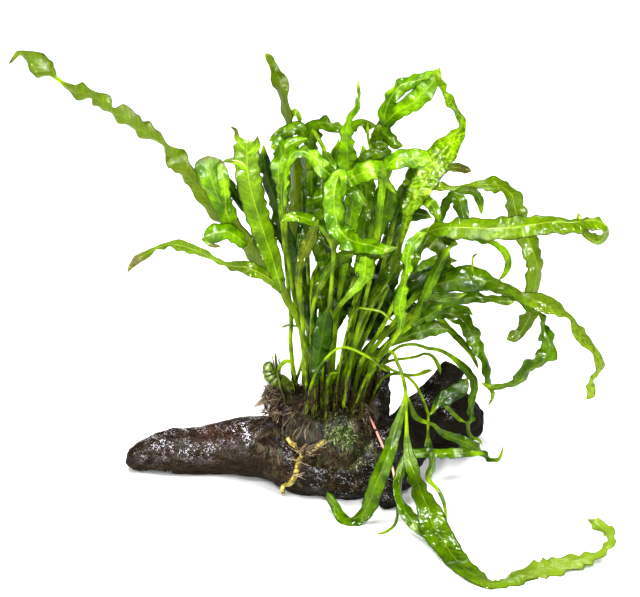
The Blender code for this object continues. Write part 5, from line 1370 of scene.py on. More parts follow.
def build_leaf(leaf: Frond | Sprig, ribbons: list[Ribbon], material: bpy.types.Material) -> bpy.types.Object:
    """Build one leaf from its lobes.

    Args:
        leaf: the leaf's name and tone.
        ribbons: how its lobes lie.
        material: its finish.

    Returns:
        The finished piece.
    """
    body = bmesh.new()
    body.verts.layers.float_vector.new("leaf_place")
    body.verts.layers.float_color.new("leaf_state")
    body.verts.layers.float_color.new("leaf_look")
    seed = sum(ord(letter) for letter in leaf.name) % 97
    for which, ribbon in enumerate(ribbons):
        FineLobe(ribbon, seed + 1.37 * which).add_to(body)
    rims = [edge for edge in body.edges if edge.is_boundary]
    bmesh.ops.holes_fill(body, edges=rims, sides=0)
    bmesh.ops.recalc_face_normals(body, faces=body.faces[:])
    solids = [leaf.name] if isinstance(leaf, Frond) else []
    return place_piece("leaf_" + leaf.name.removeprefix("frond_"), body, [material], leaf.tone.value, *solids)


# --- Driftwood ----------------------------------------------------------------------------------

# Each ring of a limb is (across, back, height of its centre, radius).
TRUNK_RINGS = [
    (-40, 29, 17.0, 17.0), (-30, 24, 18.0, 18.5), (-20, 16.5, 18.8, 20.5), (-10, 10.5, 18.3, 21.0),
    (0, 8, 18.0, 21.0), (10, 8, 18.0, 20.5), (18, 9.5, 19.8, 19.0), (26, 13, 21.0, 18.0),
    (34, 20, 20.5, 16.5), (40, 26, 20.0, 15.0),
]
LEFT_ARM_RINGS = [
    (-115, 34.5, 8.5, 4.0), (-112, 34, 8.0, 6.5), (-106, 34, 8.8, 8.8), (-98, 34, 10.2, 10.6),
    (-88, 33.5, 12.0, 12.4), (-76, 33, 12.8, 13.2), (-64, 33, 13.8, 14.2), (-56, 32, 15.2, 15.8),
    (-49, 31, 16.2, 16.8), (-40, 29, 17.0, 17.0),
]
RIGHT_LIMB_RINGS = [
    (30, 18, 20, 14.0), (38, 30, 23, 13.0), (46, 44, 25, 13.5), (54, 54, 22.5, 15.0),
    (61, 60, 19, 17.0), (67, 65, 17, 16.5), (74, 69, 17, 13.5), (78, 71, 18, 8.5), (80, 72, 19, 4.5),
]
RIGHT_PRONG_RINGS = [(48, 47, 28, 9.0), (55, 54, 35, 9.0), (61, 60, 42, 7.8), (66, 64, 49, 6.0)]
REAR_STUMP_RINGS = [(18, 20, 24, 11.0), (20, 32, 44, 10.0), (22, 40, 58, 8.6), (22.5, 43, 70, 6.4)]
FRONT_FOOT_RINGS = [
    (20, 6, 14, 11.0), (25, -4, 9.5, 10.0), (29, -11, 7.0, 8.4), (31, -16, 6.0, 6.0), (32, -18, 6.0, 3.0),
]
FOOT_KNOB_RINGS = [(30, 8, 10, 7.0), (37, 5, 8.5, 6.8), (41, 3, 8.0, 4.5), (43, 2, 8.0, 2.0)]

# Where glints are painted on the wood as pale squiggles, over a glossy wet film, as (across, up, half width,
# half height, how thick).
GLINT_PATCHES = [
    (-92, 27, 17, 7, 1.0), (-52, 35, 13, 10, 1.0), (-75, 26, 10, 4, 0.6), (4, 15, 20, 11, 1.0),
    (19, 25, 13, 10, 1.0), (27, 9, 8, 8, 0.7), (48, 54, 4, 4, 0.9), (57, 63, 5, 4, 0.7),
    (61, 46, 5, 4, 0.7), (30, 36, 6, 5, 0.4),
]


@dataclass(frozen=True)
class WetWood:
    """Waterlogged wood: nearly black, reddish where the bark is worn, under a film of water.

    Short pale squiggles are painted on its upper side and in patches: painted glints of the wet film.
    The film is glossy there too, and its relief breaks each lamp into real small glints.
    """

    name: str = "wet driftwood"
    dark: str = "#17150b"
    brown: str = "#3a2e22"
    worn: str = "#40251a"
    painted_glint: str = "#d6d6e0"
    blotch_mm: float = 14.0
    crust_mm: float = 1.1
    squiggle_mm: float = 1.8
    gap_mm: float = 6.0
    relief_mm: float = 0.4
    squiggle: float = 0.6
    squiggle_edge: float = 0.03
    refraction: float = 1.16

    def material(self) -> bpy.types.Material:
        """Build the wood's material on its own coordinates, its grain along the branch.

        Returns:
            The material.
        """
        material, tree = blank_material(self.name)
        spot = add_node(tree, "TexCoord").outputs["Object"]
        grain = add_node(tree, "Mapping", {"Vector": spot, "Scale": (0.3, 1.0, 1.0)}).outputs[0]
        blotch, crust, twists, gaps = (
            add_node(tree, "TexNoise", {"Vector": where, "Scale": 1 / (size * MM), "Detail": detail,
                                        "Distortion": twist})
            for where, size, detail, twist in (
                (spot, self.blotch_mm, 5.0, 0.0), (grain, self.crust_mm, 4.0, 0.6),
                (spot, self.squiggle_mm, 0.0, 2.4), (spot, self.gap_mm, 1.0, 0.0)))
        worn, soaked, crusty = (add_node(tree, "Attribute", attribute_name=name).outputs["Fac"]
                                for name in ("worn", "soaked", "crusty"))
        shade, patchy, thick, broken, line = (
            add_node(tree, "MapRange", levels)
            for levels in ((crust, 0.38, 0.66, 0.0, 1.0), (blotch, 0.35, 0.6, 0.3, 1.0),
                           (blotch, 0.42, 0.54, 0.3, 1.0), (gaps, 0.4, 0.5, 0.1, 1.0),
                           (twists, self.squiggle, self.squiggle + self.squiggle_edge, 0.0, 1.0)))
        wet = add_node(tree, "Math", (thick, 0.5, 0.5), operation="MULTIPLY_ADD")
        reddish, rough = (add_node(tree, "Math", pair, operation="MULTIPLY")
                          for pair in ((worn, patchy), (crusty, wet)))
        # Painted glints: the pale squiggles are painted highlights of the wet film, laid where its patches
        # are thick and glossy.
        scale = line
        for share in (thick, broken, rough):
            scale = add_node(tree, "Math", (scale, share), operation="MULTIPLY", use_clamp=True)
        colour = self.dark
        for strength, layer in ((shade, self.brown), (reddish, self.worn), (soaked, self.dark),
                                (scale, self.painted_glint)):
            colour = add_node(tree, "Mix", {0: strength, MIX_A: colour, MIX_B: layer}, data_type="RGBA")
        film = add_node(tree, "MapRange", (rough, 0.0, 0.7, 0.6, 0.05))
        raised = add_node(tree, "Math", (twists, rough), operation="MULTIPLY")
        skin = add_node(tree, "Bump", {"Height": raised, "Distance": self.relief_mm * MM, "Strength": 1.0})
        shader = add_node(tree, "BsdfPrincipled", {"Base Color": colour, "Roughness": film,
                                                   "IOR": self.refraction, "Normal": skin})
        add_node(tree, "OutputMaterial", {"Surface": shader})
        return material


@dataclass
class Driftwood:
    """The forked branch: a trunk, an arm to the left, a limb and a prong to the right, two stubs."""

    sides: int = 36
    ring_step: float = 3.0
    voxel: float = 0.85
    trunk_lumps: float = 1.6
    arm_lumps: float = 0.8
    limb_lumps: float = 1.4
    knob_lumps: float = 0.5
    lump_rate: float = 0.06
    limb_from: float = 34.0
    grain: float = 0.9
    grain_along_rate: float = 0.05
    grain_across_rate: float = 0.3
    knots: float = 0.7
    knot_rate: float = 0.13
    knots_from: tuple = (9.0, 3.0, 1.0)
    crust: float = 0.42
    crumb_rate: float = 0.42
    top_glint_share: float = 0.45
    top_glint_share_ends: float = 30.0
    soaked_from: float = -42.0
    soaked_fade: float = 22.0
    worn_patch: tuple = (-66.0, 35.0, 11.0, 6.0)
    worn_rate: float = 0.08
    bitten: tuple = (-112.0, -90.0)
    bite_rate: float = 0.7

    def limb(self, rings: list, lumps: float) -> bmesh.types.BMesh:
        """Skin one limb smoothly through its rings.

        Args:
            rings: its rings.
            lumps: how high its lumps are, in millimetres.

        Returns:
            The limb, not yet cut at the floor.
        """
        rows = ring_rows(rings, self.ring_step)
        centres = [Vector(row[:3]) for row in rows]
        matrices = []
        for index, (centre, row) in enumerate(zip(centres, rows)):
            tangent = heading_at(centres, index)
            side = tangent.cross(UPRIGHT)
            if side.length < 0.3:
                side = tangent.cross(BACKWARDS)
            side.normalize()
            matrices.append(placing(centre, side, side.cross(tangent), tangent, row[3], row[3]))
        body = loft(matrices, self.sides)
        for vert in body.verts:
            vert.co += vert.normal * lumps * noise.noise(vert.co * self.lump_rate)
        return body

    def fused(self) -> bmesh.types.BMesh:
        """Grow all the limbs together into one closed skin.

        Returns:
            The skin.
        """
        together = joined([self.limb(rings, lumps) for rings, lumps in (
            (TRUNK_RINGS, self.trunk_lumps), (LEFT_ARM_RINGS, self.arm_lumps),
            (RIGHT_LIMB_RINGS, self.limb_lumps), (RIGHT_PRONG_RINGS, self.limb_lumps),
            (REAR_STUMP_RINGS, self.limb_lumps), (FRONT_FOOT_RINGS, self.limb_lumps),
            (FOOT_KNOB_RINGS, self.knob_lumps))])
        mesh = bpy.data.meshes.new("limbs")
        together.to_mesh(mesh)
        together.free()
        rough = bpy.data.objects.new("limbs", mesh)
        bpy.context.scene.collection.objects.link(rough)
        remesh = rough.modifiers.new("fuse", "REMESH")
        remesh.mode = "VOXEL"
        remesh.voxel_size = self.voxel
        whole = bmesh.new()
        whole.from_object(rough, bpy.context.evaluated_depsgraph_get())
        bpy.data.objects.remove(rough)
        bmesh.ops.smooth_vert(whole, verts=whole.verts[:], factor=0.5, use_axis_x=True, use_axis_y=True,
                              use_axis_z=True)
        return whole

    def bareness(self, place: Vector, normal: Vector, knot: float) -> float:
        """Say how bare of painted glints the wood is at a place: they are painted on the side that faces the
        lamps, and in thick patches.

        Args:
            place: the place.
            normal: which way the skin faces there.
            knot: how the wood swells there.

        Returns:
            From 0, thick with painted glints, to 1, bare.
        """
        facing = normal.dot(RISE * 0.8 - SIGHT * 0.6)
        up = seen_up(place)
        patches = sum(thick * math.exp(-((place.x - across) / wide) ** 2 - ((up - height) / high) ** 2)
                      for across, height, wide, high, thick in GLINT_PATCHES)
        # Painted highlight: glints are painted on the upper front, the side that faces the lamps.
        plain = min(1.0, max(0.0, 1.6 * facing + 0.5 * knot)) * (place.x < self.top_glint_share_ends)
        return 1.0 - min(1.0, max(self.top_glint_share * plain, patches))

    def weather(self, body: bmesh.types.BMesh) -> None:
        """Carve grain, knots and crust into the skin and mark where it is worn, where soaked, and where it is
        glossy and painted with glints.

        Args:
            body: the fused wood.
        """
        worn, crusty, soaked = (body.verts.layers.float.new(name) for name in ("worn", "crusty", "soaked"))
        across, up, wide, high = self.worn_patch
        body.normal_update()
        moves = []
        for vert in body.verts:
            place = vert.co
            turned = max(place.x - self.limb_from, 0.0)
            run = 0.7 * (place.x + place.y) if turned else place.x
            grain = noise.noise(Vector((run * self.grain_along_rate,
                                        (place.y - 0.6 * turned) * self.grain_across_rate,
                                        place.z * self.grain_across_rate)))
            knot = noise.noise(place * self.knot_rate + Vector(self.knots_from))
            crumbs = noise.turbulence(place * self.crumb_rate, 3, True)
            bare = self.bareness(place, vert.normal, knot)
            # Where the film is glossy and where glints are painted.
            vert[crusty] = 1.0 - bare
            wetness = min(1.0, max(0.0, (place.x - self.soaked_from) / self.soaked_fade))
            vert[soaked] = wetness * (0.45 + 0.2 * bare)
            patch = math.exp(-((place.x - across) / wide) ** 2 - ((seen_up(place) - up) / high) ** 2)
            vert[worn] = min(1.0, 0.7 * patch + 0.4 * max(0.0, noise.noise(place * self.worn_rate)))
            depth = self.grain * grain + self.knots * knot + self.crust * (crumbs - 0.6) * (1.0 - 0.7 * bare)
            moves.append((vert, vert.normal * depth))
        for vert, move in moves:
            vert.co += move

    def level(self, body: bmesh.types.BMesh) -> None:
        """Flatten what stands on the floor, and bite the ragged lower edge out of the arm's end.

        Args:
            body: the weathered wood.
        """
        low, high = self.bitten
        for vert in body.verts:
            place = vert.co
            if low < place.x < high:
                share = (place.x - low) / (high - low)
                tooth = noise.noise(Vector((place.x * self.bite_rate, place.y * 0.2, 5.0)))
                ragged = 1.0 + 3.4 * share + 3.2 * tooth
                place.z = max(place.z, ragged + 0.25 * max(0.0, place.y - 24.0) * share)
            place.z = max(place.z, 0.0)

    def build(self) -> bpy.types.Object:
        """Build the wood as one finished piece.

        Returns:
            The piece.
        """
        body = self.fused()
        self.weather(body)
        self.level(body)
        bmesh.ops.recalc_face_normals(body, faces=body.faces[:])
        return place_piece("driftwood", body, [WetWood().material()], "driftwood", "wood_trunk",
                           "wood_left_arm", "wood_right_limb", "wood_right_prong", "wood_rear_stump",
                           "wood_front_foot")


# --- Roots, moss, rhizomes and the tie ----------------------------------------------------------

# Each ring of the root mat is (across, back, height, half depth, half height).
MAT_RINGS = [
    (-38, 23, 46, 5.0, 7.0), (-34, 22, 43, 11.0, 13.5), (-26, 18, 37, 20.0, 20.5),
    (-14, 13, 35, 25.0, 23.5), (-2, 10, 33, 25.0, 25.5), (8, 10, 32, 23.5, 24.5),
    (14, 11, 32, 20.0, 21.0), (20, 13, 33, 14.0, 15.0), (23, 14, 34, 7.0, 8.0),
]

# Routes of the small stems, as (across, up, seen width), and their depths at even steps.
ROOT_TAIL = [(-35, 52, 3.0), (-38.5, 53.5, 2.2), (-41, 52.5, 1.8), (-44.5, 49.5, 1.0)]
ROOT_TAIL_BACK = (24, 21, 19)
RHIZOME_ROUTE = [(-22, 58, 6), (-29, 63, 7.5), (-34.5, 66.5, 8), (-36.5, 71, 6.5), (-35.5, 74.5, 3)]
RHIZOME_BACK = (18, 17, 16)
RUNNER_ROUTE = [(-26, 33, 2.6), (-24, 30, 2.8), (-21, 28, 2.8), (-18, 23.5, 2.8), (-20, 20, 2.8),
                (-21, 15, 3.0), (-23, 10, 3.0), (-25, 7.5, 3.0), (-28, 7, 2.8), (-29, 4, 2.6),
                (-28, 1.5, 2.0)]
RUNNER_SIDE_ROUTE = [(-18.5, 23, 2.6), (-14, 25, 2.6), (-11, 27, 2.6), (-8, 30, 2.4), (-6, 32, 1.6)]
# Where roots lie over the runner, as (across, up, how many).
RUNNER_HIDDEN = [(-19.5, 26, 26), (-19, 19, 12), (-23, 12, 14), (-16, 24, 20), (-12.5, 25.5, 16), (-8, 30, 4)]


@dataclass(frozen=True)
class Fibre:
    """Wet root fibre or moss: thin, a little glossy, its colour broken along its length."""

    name: str
    dark: str
    light: str
    roughness: float = 0.24
    grain_mm: float = 3.0
    refraction: float = 1.36

    def material(self) -> bpy.types.Material:
        """Build the fibre's material.

        Returns:
            The material.
        """
        material, tree = blank_material(self.name)
        spot = add_node(tree, "TexCoord").outputs["Object"]
        grain = add_node(tree, "TexNoise", {"Vector": spot, "Scale": 1 / (self.grain_mm * MM), "Detail": 3.0})
        shade = add_node(tree, "MapRange", (grain, 0.36, 0.62, 0.0, 1.0))
        colour = add_node(tree, "Mix", {0: shade, MIX_A: self.dark, MIX_B: self.light}, data_type="RGBA")
        shader = add_node(tree, "BsdfPrincipled", {"Base Color": colour, "Roughness": self.roughness,
                                                   "IOR": self.refraction})
        add_node(tree, "OutputMaterial", {"Surface": shader})
        return material


@dataclass(frozen=True)
class StemFinish:
    """Skin of a rhizome or of the tie: one colour worn into another, with bands or scales.

    The bands are the dark scars that ring a young rhizome.
    """

    name: str
    light: str
    dark: str
    band_share: float
    speck_mm: float
    roughness: float
    speckled: float = 0.65
    relief_mm: float = 0.3
    refraction: float = 1.42

    def material(self) -> bpy.types.Material:
        """Build the stem's material; its bands follow the attribute that its maker sets.

        Returns:
            The material.
        """
        material, tree = blank_material(self.name)
        spot = add_node(tree, "TexCoord").outputs["Object"]
        band = add_node(tree, "Attribute", attribute_name="band").outputs["Fac"]
        speck = add_node(tree, "TexNoise", {"Vector": spot, "Scale": 1 / (self.speck_mm * MM), "Detail": 3.0})
        broken = add_node(tree, "MapRange", (speck, 0.42, 0.6, 0.0, 1.0))
        scars = add_node(tree, "Math", (band, self.band_share), operation="MULTIPLY")
        share = add_node(tree, "Math", (broken, self.speckled, scars), operation="MULTIPLY_ADD",
                         use_clamp=True)
        colour = add_node(tree, "Mix", {0: share, MIX_A: self.light, MIX_B: self.dark}, data_type="RGBA")
        skin = add_node(tree, "Bump", {"Height": speck, "Distance": self.relief_mm * MM, "Strength": 1.0})
        shader = add_node(tree, "BsdfPrincipled", {"Base Color": colour, "Roughness": self.roughness,
                                                   "IOR": self.refraction, "Normal": skin})
        add_node(tree, "OutputMaterial", {"Surface": shader})
        return material


class StrandBundle:
    """Many thin strands drawn as curves and turned to one mesh."""

    MATERIALS = 4

    def __init__(self, name: str) -> None:
        """Start an empty bundle.

        Args:
            name: the name of the piece that it becomes.
        """
        self.curve = bpy.data.curves.new(name, "CURVE")
        self.curve.dimensions = "3D"
        self.curve.bevel_depth = 1.0
        self.curve.bevel_resolution = 0
        self.curve.use_fill_caps = True
        for _ in range(self.MATERIALS):
            self.curve.materials.append(None)

    def add(self, points: list[Vector], radius: float, material_number: int, tip_share: float = 0.4) -> None:
        """Add a strand that thins towards its tip.

        Args:
            points: where it runs, in millimetres.
            radius: its radius at its foot.
            material_number: which of the bundle's materials it takes.
            tip_share: its radius at its tip, as a share of that at its foot.
        """
        spline = self.curve.splines.new("POLY")
        spline.points.add(len(points) - 1)
        for index, (point, knot) in enumerate(zip(points, spline.points)):
            share = index / (len(points) - 1)
            knot.co = (*point, 1.0)
            knot.radius = radius * (1.0 + (tip_share - 1.0) * share)
        spline.material_index = material_number

    def place(self, materials: list[bpy.types.Material], slot: str, *stands_for: str) -> bpy.types.Object:
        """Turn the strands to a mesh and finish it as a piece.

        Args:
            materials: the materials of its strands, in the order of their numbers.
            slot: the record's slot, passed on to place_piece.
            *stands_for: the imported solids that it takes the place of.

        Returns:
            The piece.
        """
        holder = bpy.data.objects.new("strands", self.curve)
        bpy.context.scene.collection.objects.link(holder)
        bpy.context.view_layer.update()
        made = bpy.data.meshes.new_from_object(holder.evaluated_get(bpy.context.evaluated_depsgraph_get()))
        bpy.data.objects.remove(holder)
        body = bmesh.new()
        body.from_mesh(made)
        bpy.data.meshes.remove(made)
        bmesh.ops.recalc_face_normals(body, faces=body.faces[:])
        return place_piece(self.curve.name, body, materials, slot, *stands_for)


def random_way(dice: np.random.Generator) -> Vector:
    """Draw a random direction."""
    return Vector(dice.normal(size=3)).normalized()


def crawl(tree: BVHTree, start: Vector, heading: Vector, step: float, stray: float, sink: float,
          standoff: float, dice: np.random.Generator) -> list[Vector]:
    """Let a strand crawl over a surface.

    Args:
        tree: the surface.
        start: where it sets off.
        heading: which way.
        step: how long each of its steps is.
        stray: how much it wanders at each step.
        sink: how much it bends downwards at each step.
        standoff: how far off the surface its middle stands.
        dice: the source of chance.

    Returns:
        Its points.
    """
    steps = 8
    point, normal = tree.find_nearest(start)[:2]
    path = []
    for index in range(steps + 1):
        arch = math.sin(math.pi * min(1.0, (index + 0.5) / steps))
        path.append(point + normal * (0.15 + standoff * arch))
        heading = heading + random_way(dice) * stray - UPRIGHT * sink
        heading = (heading - normal * heading.dot(normal)).normalized()
        point, normal = tree.find_nearest(point + heading * step)[:2]
    return path


def sprout(tree: BVHTree, place: Vector, lean: Vector, steps: int, step: float, stray: float, sink: float,
           dice: np.random.Generator) -> list[Vector]:
    """Let a strand grow out of a surface.

    Args:
        tree: the surface.
        place: near where it sets off.
        lean: what bends it as it leaves the surface.
        steps: how many steps it takes.
        step: how long each one is.
        stray: how much it wanders at each step.
        sink: how much it bends downwards at each step.
        dice: the source of chance.

    Returns:
        Its points.
    """
    point, normal = tree.find_nearest(place)[:2]
    heading = (normal + random_way(dice) * 0.9 + lean).normalized()
    path = [point]
    for _ in range(steps):
        heading = (heading + random_way(dice) * stray - UPRIGHT * sink).normalized()
        path.append(path[-1] + heading * step)
    return path


@dataclass
class RootMat:
    """The clump of fine brown-black roots that holds the plant on the wood.

    Its lumps, knots and pits are each a height in millimetres and how closely they follow.
    """

    feet: list
    sides: int = 44
    ring_step: float = 1.6
    sunk: float = 2.6
    lumps: tuple = (2.2, 0.13)
    knots: tuple = (1.1, 0.4)
    pits: tuple = (0.7, 0.9)
    floor_gap: float = 0.4
    lying: int = 2100
    loose: int = 760
    wood_fibres: int = 1700
    strays: int = 420
    sheaths: int = 20

    def base(self) -> bmesh.types.BMesh:
        """Skin the dense middle of the clump, lumpy and knotted.

        Returns:
            The middle of the clump.
        """
        rows = ring_rows(MAT_RINGS, self.ring_step)
        matrices = [placing(Vector(row[:3]), BACKWARDS, UPRIGHT, ACROSS, row[3], row[4]) for row in rows]
        body = loft(matrices, self.sides)
        for vert in body.verts:
            lump, knot, pit = (height * noise.noise(vert.co * rate)
                               for height, rate in (self.lumps, self.knots, self.pits))
            vert.co += vert.normal * (lump + (knot + pit - self.sunk))
            vert.co.z = max(vert.co.z, self.floor_gap)
        return body

    def lay(self, bundle: StrandBundle, count: int, mat: BVHTree, standoff: tuple, radius: tuple,
            shares: tuple, dice: np.random.Generator) -> None:
        """Lay fibres all over the clump, most of them running downwards.

        Args:
            bundle: the bundle they go into.
            count: how many.
            mat: the clump's surface.
            standoff: the least and the most that a fibre stands off it.
            radius: the least and the greatest radius of a fibre.
            shares: how many in one take each of the bundle's materials.
            dice: the source of chance.
        """
        for _ in range(count):
            across = dice.uniform(-38, 24)
            around = dice.uniform(-0.25 * math.pi, 1.35 * math.pi)
            start = Vector((across, 12.0 - 40.0 * math.cos(around), 36.0 + 34.0 * math.sin(around)))
            heading = random_way(dice) - UPRIGHT * 0.8
            path = crawl(mat, start, heading, 2.5, 0.55, 0.25, dice.uniform(*standoff), dice)
            bundle.add(path, dice.uniform(*radius), int(dice.choice(len(shares), p=shares)))

    def cover_runner(self, bundle: StrandBundle, tree: BVHTree, dice: np.random.Generator) -> None:
        """Let fibres cross over the hidden stretches of the runner.

        Args:
            bundle: the bundle they go into.
            tree: the surface that they start and end on.
            dice: the source of chance.
        """
        for across, up, count in RUNNER_HIDDEN:
            for _ in range(count):
                turn = dice.uniform(-0.9, 0.9)
                half = Vector((math.cos(turn), math.sin(turn))) * dice.uniform(4.0, 6.5)
                middle = Vector((across + dice.normal() * 1.8, up + dice.normal() * 1.8))
                path = []
                for share in np.linspace(-1.0, 1.0, 7):
                    lift = 0.4 + 5.0 * (1.0 - share * share)
                    spot = middle + half * float(share)
                    path.append(lies_before(tree, spot.x, spot.y, lift) + random_way(dice) * 0.3)
                bundle.add(path, dice.uniform(0.15, 0.3), int(dice.choice((0, 1, 1, 2))), 0.8)

    def spread_over_wood(self, bundle: StrandBundle, tree: BVHTree, dice: np.random.Generator) -> None:
        """Let fibres creep from the clump over the front of the trunk, most on its left half.

        Args:
            bundle: the bundle they go into.
            tree: the surface of the clump and the trunk.
            dice: the source of chance.
        """
        for _ in range(self.wood_fibres):
            across = dice.uniform(-40, 26) if dice.random() < 0.65 else dice.uniform(-40, -18)
            place = lies_before(tree, across, dice.uniform(8, 40))
            heading = random_way(dice) - UPRIGHT * 1.2
            path = crawl(tree, place, heading, 2.6, 0.5, 0.4, dice.uniform(0.1, 0.7), dice)
            if min(point.z for point in path) > 1.0:
                bundle.add(path, dice.uniform(0.1, 0.24), int(dice.choice((0, 1, 1, 3))))

    def fray_edge(self, bundle: StrandBundle, mat: BVHTree, dice: np.random.Generator) -> None:
        """Let loose ends stand off the top of the clump, most at its left end.

        Args:
            bundle: the bundle they go into.
            mat: the clump's surface.
            dice: the source of chance.
        """
        for _ in range(self.strays):
            across = dice.uniform(-38, 10) if dice.random() < 0.5 else dice.uniform(-39, -28)
            place = lies_before(mat, across, dice.uniform(44, 66), hangs_at=20.0)
            path = sprout(mat, place, UPRIGHT * -0.2, 6, 1.2, 0.45, 0.12, dice)
            bundle.add(path, dice.uniform(0.16, 0.32), int(dice.choice((0, 1, 1, 2))))

    def sheathe_feet(self, bundle: StrandBundle, dice: np.random.Generator) -> None:
        """Let hairs run up round the foot of each petiole.

        Args:
            bundle: the bundle they go into.
            dice: the source of chance.
        """
        for foot in self.feet:
            for _ in range(self.sheaths):
                low = int(dice.integers(1, 4))
                out = random_way(dice)
                path = []
                for step in range(5):
                    at = foot[low] + (foot[low + 1] - foot[low]) * (0.9 * step)
                    path.append(at + out * (1.3 + 0.25 * step) + random_way(dice) * 0.5)
                bundle.add(path, dice.uniform(0.16, 0.34), int(dice.choice((0, 0, 1, 1, 3))), 0.3)

    def build(self) -> None:
        """Build the clump's middle and its fibres, the dark ones first."""
        felt = Fibre("dark root felt", "#0a0705", "#1c140e", 0.8, 1.2, 1.2).material()
        place_piece("root_mat_middle", self.base(), [felt], "roots", "root_mat")
        materials = [Fibre("black wet root", "#0c0804", "#281c12").material(),
                     Fibre("brown wet root", "#35261a", "#624c34").material(),
                     Fibre("pale dry root", "#74664e", "#b0a284").material(),
                     Fibre("algae-green root", "#262e0c", "#545e20").material()]
        dice = np.random.default_rng(7)
        mat = surface_of("root_mat")
        every = surface_of("root_mat", "wood_trunk")
        bundle = StrandBundle("root_fibres")
        self.lay(bundle, self.lying, mat, (0.2, 1.4), (0.14, 0.26), (0.55, 0.3, 0.03, 0.12), dice)
        bundle.place(materials, "roots")
        bundle = StrandBundle("loose_root_fibres")
        self.lay(bundle, self.loose, mat, (1.0, 2.6), (0.13, 0.26), (0.34, 0.42, 0.08, 0.16), dice)
        self.cover_runner(bundle, every, dice)
        self.spread_over_wood(bundle, every, dice)
        bundle.place(materials, "roots")
        bundle = StrandBundle("stray_root_fibres")
        self.fray_edge(bundle, mat, dice)
        self.sheathe_feet(bundle, dice)
        bundle.place(materials, "roots")


@dataclass
class Moss:
    """Fine green moss: a tuft on the front of the roots, and a low felt of it on the wood below.

    Each patch is its count of strands, its place (across, up), its half width and half height, and
    how long each step of a strand is.
    """

    patches: tuple = ((620, 0.5, 40.0, 11.0, 9.0, 0.7), (1200, 7.0, 24.0, 19.0, 8.5, 0.42))

    def build(self) -> None:
        """Grow the strands out of the roots and the wood."""
        dice = np.random.default_rng(21)
        tree = surface_of("root_mat", "moss_tuft", "wood_trunk")
        bundle = StrandBundle("moss")
        for count, across, up, wide, high, step in self.patches:
            for _ in range(count):
                place = lies_before(tree, across + wide * dice.normal() * 0.55,
                                    up + high * dice.normal() * 0.6)
                path = sprout(tree, place, RISE * 0.3, 4, step, 0.5, 0.1, dice)
                bundle.add(path, dice.uniform(0.16, 0.3), int(dice.choice((0, 0, 0, 1))), 0.5)
        # The pale strands, a quarter of them, are painted glints of the wet film on the moss.
        bundle.place([Fibre("green moss", "#2a3c0c", "#56741c", 0.25).material(),
                      Fibre("pale moss tip", "#84984c", "#c4d498", 0.25).material()], "moss", "moss_tuft")


@dataclass(frozen=True)
class Stem:
    """A knobbly round stem, ringed by scars: its sides, the scars' spacing and how far it swells."""

    sides: int
    ring_mm: float
    knobs: float
    ring_drift: float = 0.35
    round_end: float = 1.6

    def skin(self, points: list[Vector], widths: list) -> bmesh.types.BMesh:
        """Skin the stem and mark its scars.

        Args:
            points: where it runs.
            widths: how thick it is at each point.

        Returns:
            The stem, with the scars' strength in its "band" attribute.
        """
        rows = refine(np.array([[*point, width] for point, width in zip(points, widths)]), 0.14)
        centres = [Vector(row[:3]) for row in rows]
        along = np.concatenate([[0.0], np.cumsum([(b - a).length for a, b in zip(centres, centres[1:])])])
        matrices = []
        marks = []
        for index, (centre, row, here) in enumerate(zip(centres, rows, along)):
            tangent = heading_at(centres, index)
            side = tangent.cross(SIGHT).normalized()
            turn = here / self.ring_mm + self.ring_drift * noise.noise(Vector((here * 0.3, 4.0, 1.0)))
            mark = max(0.0, math.cos(2 * math.pi * turn)) ** 4
            taper = math.sqrt(min(1.0, (0.25 + along[-1] - here) / self.round_end))
            radius = 0.5 * row[3] * (1.0 + self.knobs * (0.5 - mark)) * taper
            matrices.append(placing(centre, side, side.cross(tangent), tangent, radius, radius))
            marks.append(mark)
        body = loft(matrices, self.sides)
        band = body.verts.layers.float.new("band")
        for index, vert in enumerate(body.verts):
            vert[band] = marks[min(index // self.sides, len(marks) - 1)]
        return body


@dataclass
class Rhizomes:
    """The green rhizome tip, the yellow runner that hangs over the wood, and the loose root."""

    tip: Stem = Stem(20, 3.1, 0.22)
    tail: Stem = Stem(10, 2.0, 0.3)
    runner: Stem = Stem(14, 1.9, 0.16)
    runner_standoff: float = 1.3

    def in_air(self, shape: Stem, route: list, back: tuple) -> bmesh.types.BMesh:
        """Skin a stem along a route at given depths.

        Args:
            shape: the stem's shape.
            route: where it runs, as (across, up, seen width).
            back: its depths at even steps.

        Returns:
            The stem.
        """
        points = [view_point(across, up, deep)
                  for (across, up, _), deep in zip(route, resampled(back, len(route)))]
        return shape.skin(points, [row[2] for row in route])

    def on_wood(self, tree: BVHTree, route: list) -> bmesh.types.BMesh:
        """Skin a runner along a route over the roots and the wood.

        Args:
            tree: their surface.
            route: where it runs, as (across, up, seen width).

        Returns:
            The runner.
        """
        points = [lies_before(tree, across, up, self.runner_standoff + width / 2)
                  for across, up, width in route]
        return self.runner.skin(points, [row[2] for row in route])

    def build(self) -> None:
        """Build the three pieces."""
        green = StemFinish("green rhizome skin", "#6c7c20", "#222a08", 0.75, 1.2, 0.3)
        place_piece("rhizome", self.in_air(self.tip, RHIZOME_ROUTE, RHIZOME_BACK), [green.material()],
                    "leaf_mid", "rhizome")
        dry = StemFinish("dry root", "#8a7350", "#4a3a26", 0.3, 1.5, 0.55)
        place_piece("root_tail", self.in_air(self.tail, ROOT_TAIL, ROOT_TAIL_BACK), [dry.material()],
                    "roots", "root_tail")
        yellow = StemFinish("yellow rhizome skin", "#b4a844", "#4c3a10", 0.45, 1.8, 0.32)
        tree = surface_of("root_mat", "wood_trunk", "wood_left_arm", "wood_right_limb", "wood_right_prong",
                          "wood_rear_stump", "wood_front_foot")
        runs = [self.on_wood(tree, route) for route in (RUNNER_ROUTE, RUNNER_SIDE_ROUTE)]
        place_piece("runner", joined(runs), [yellow.material()], "runner", "rhizome_runner")


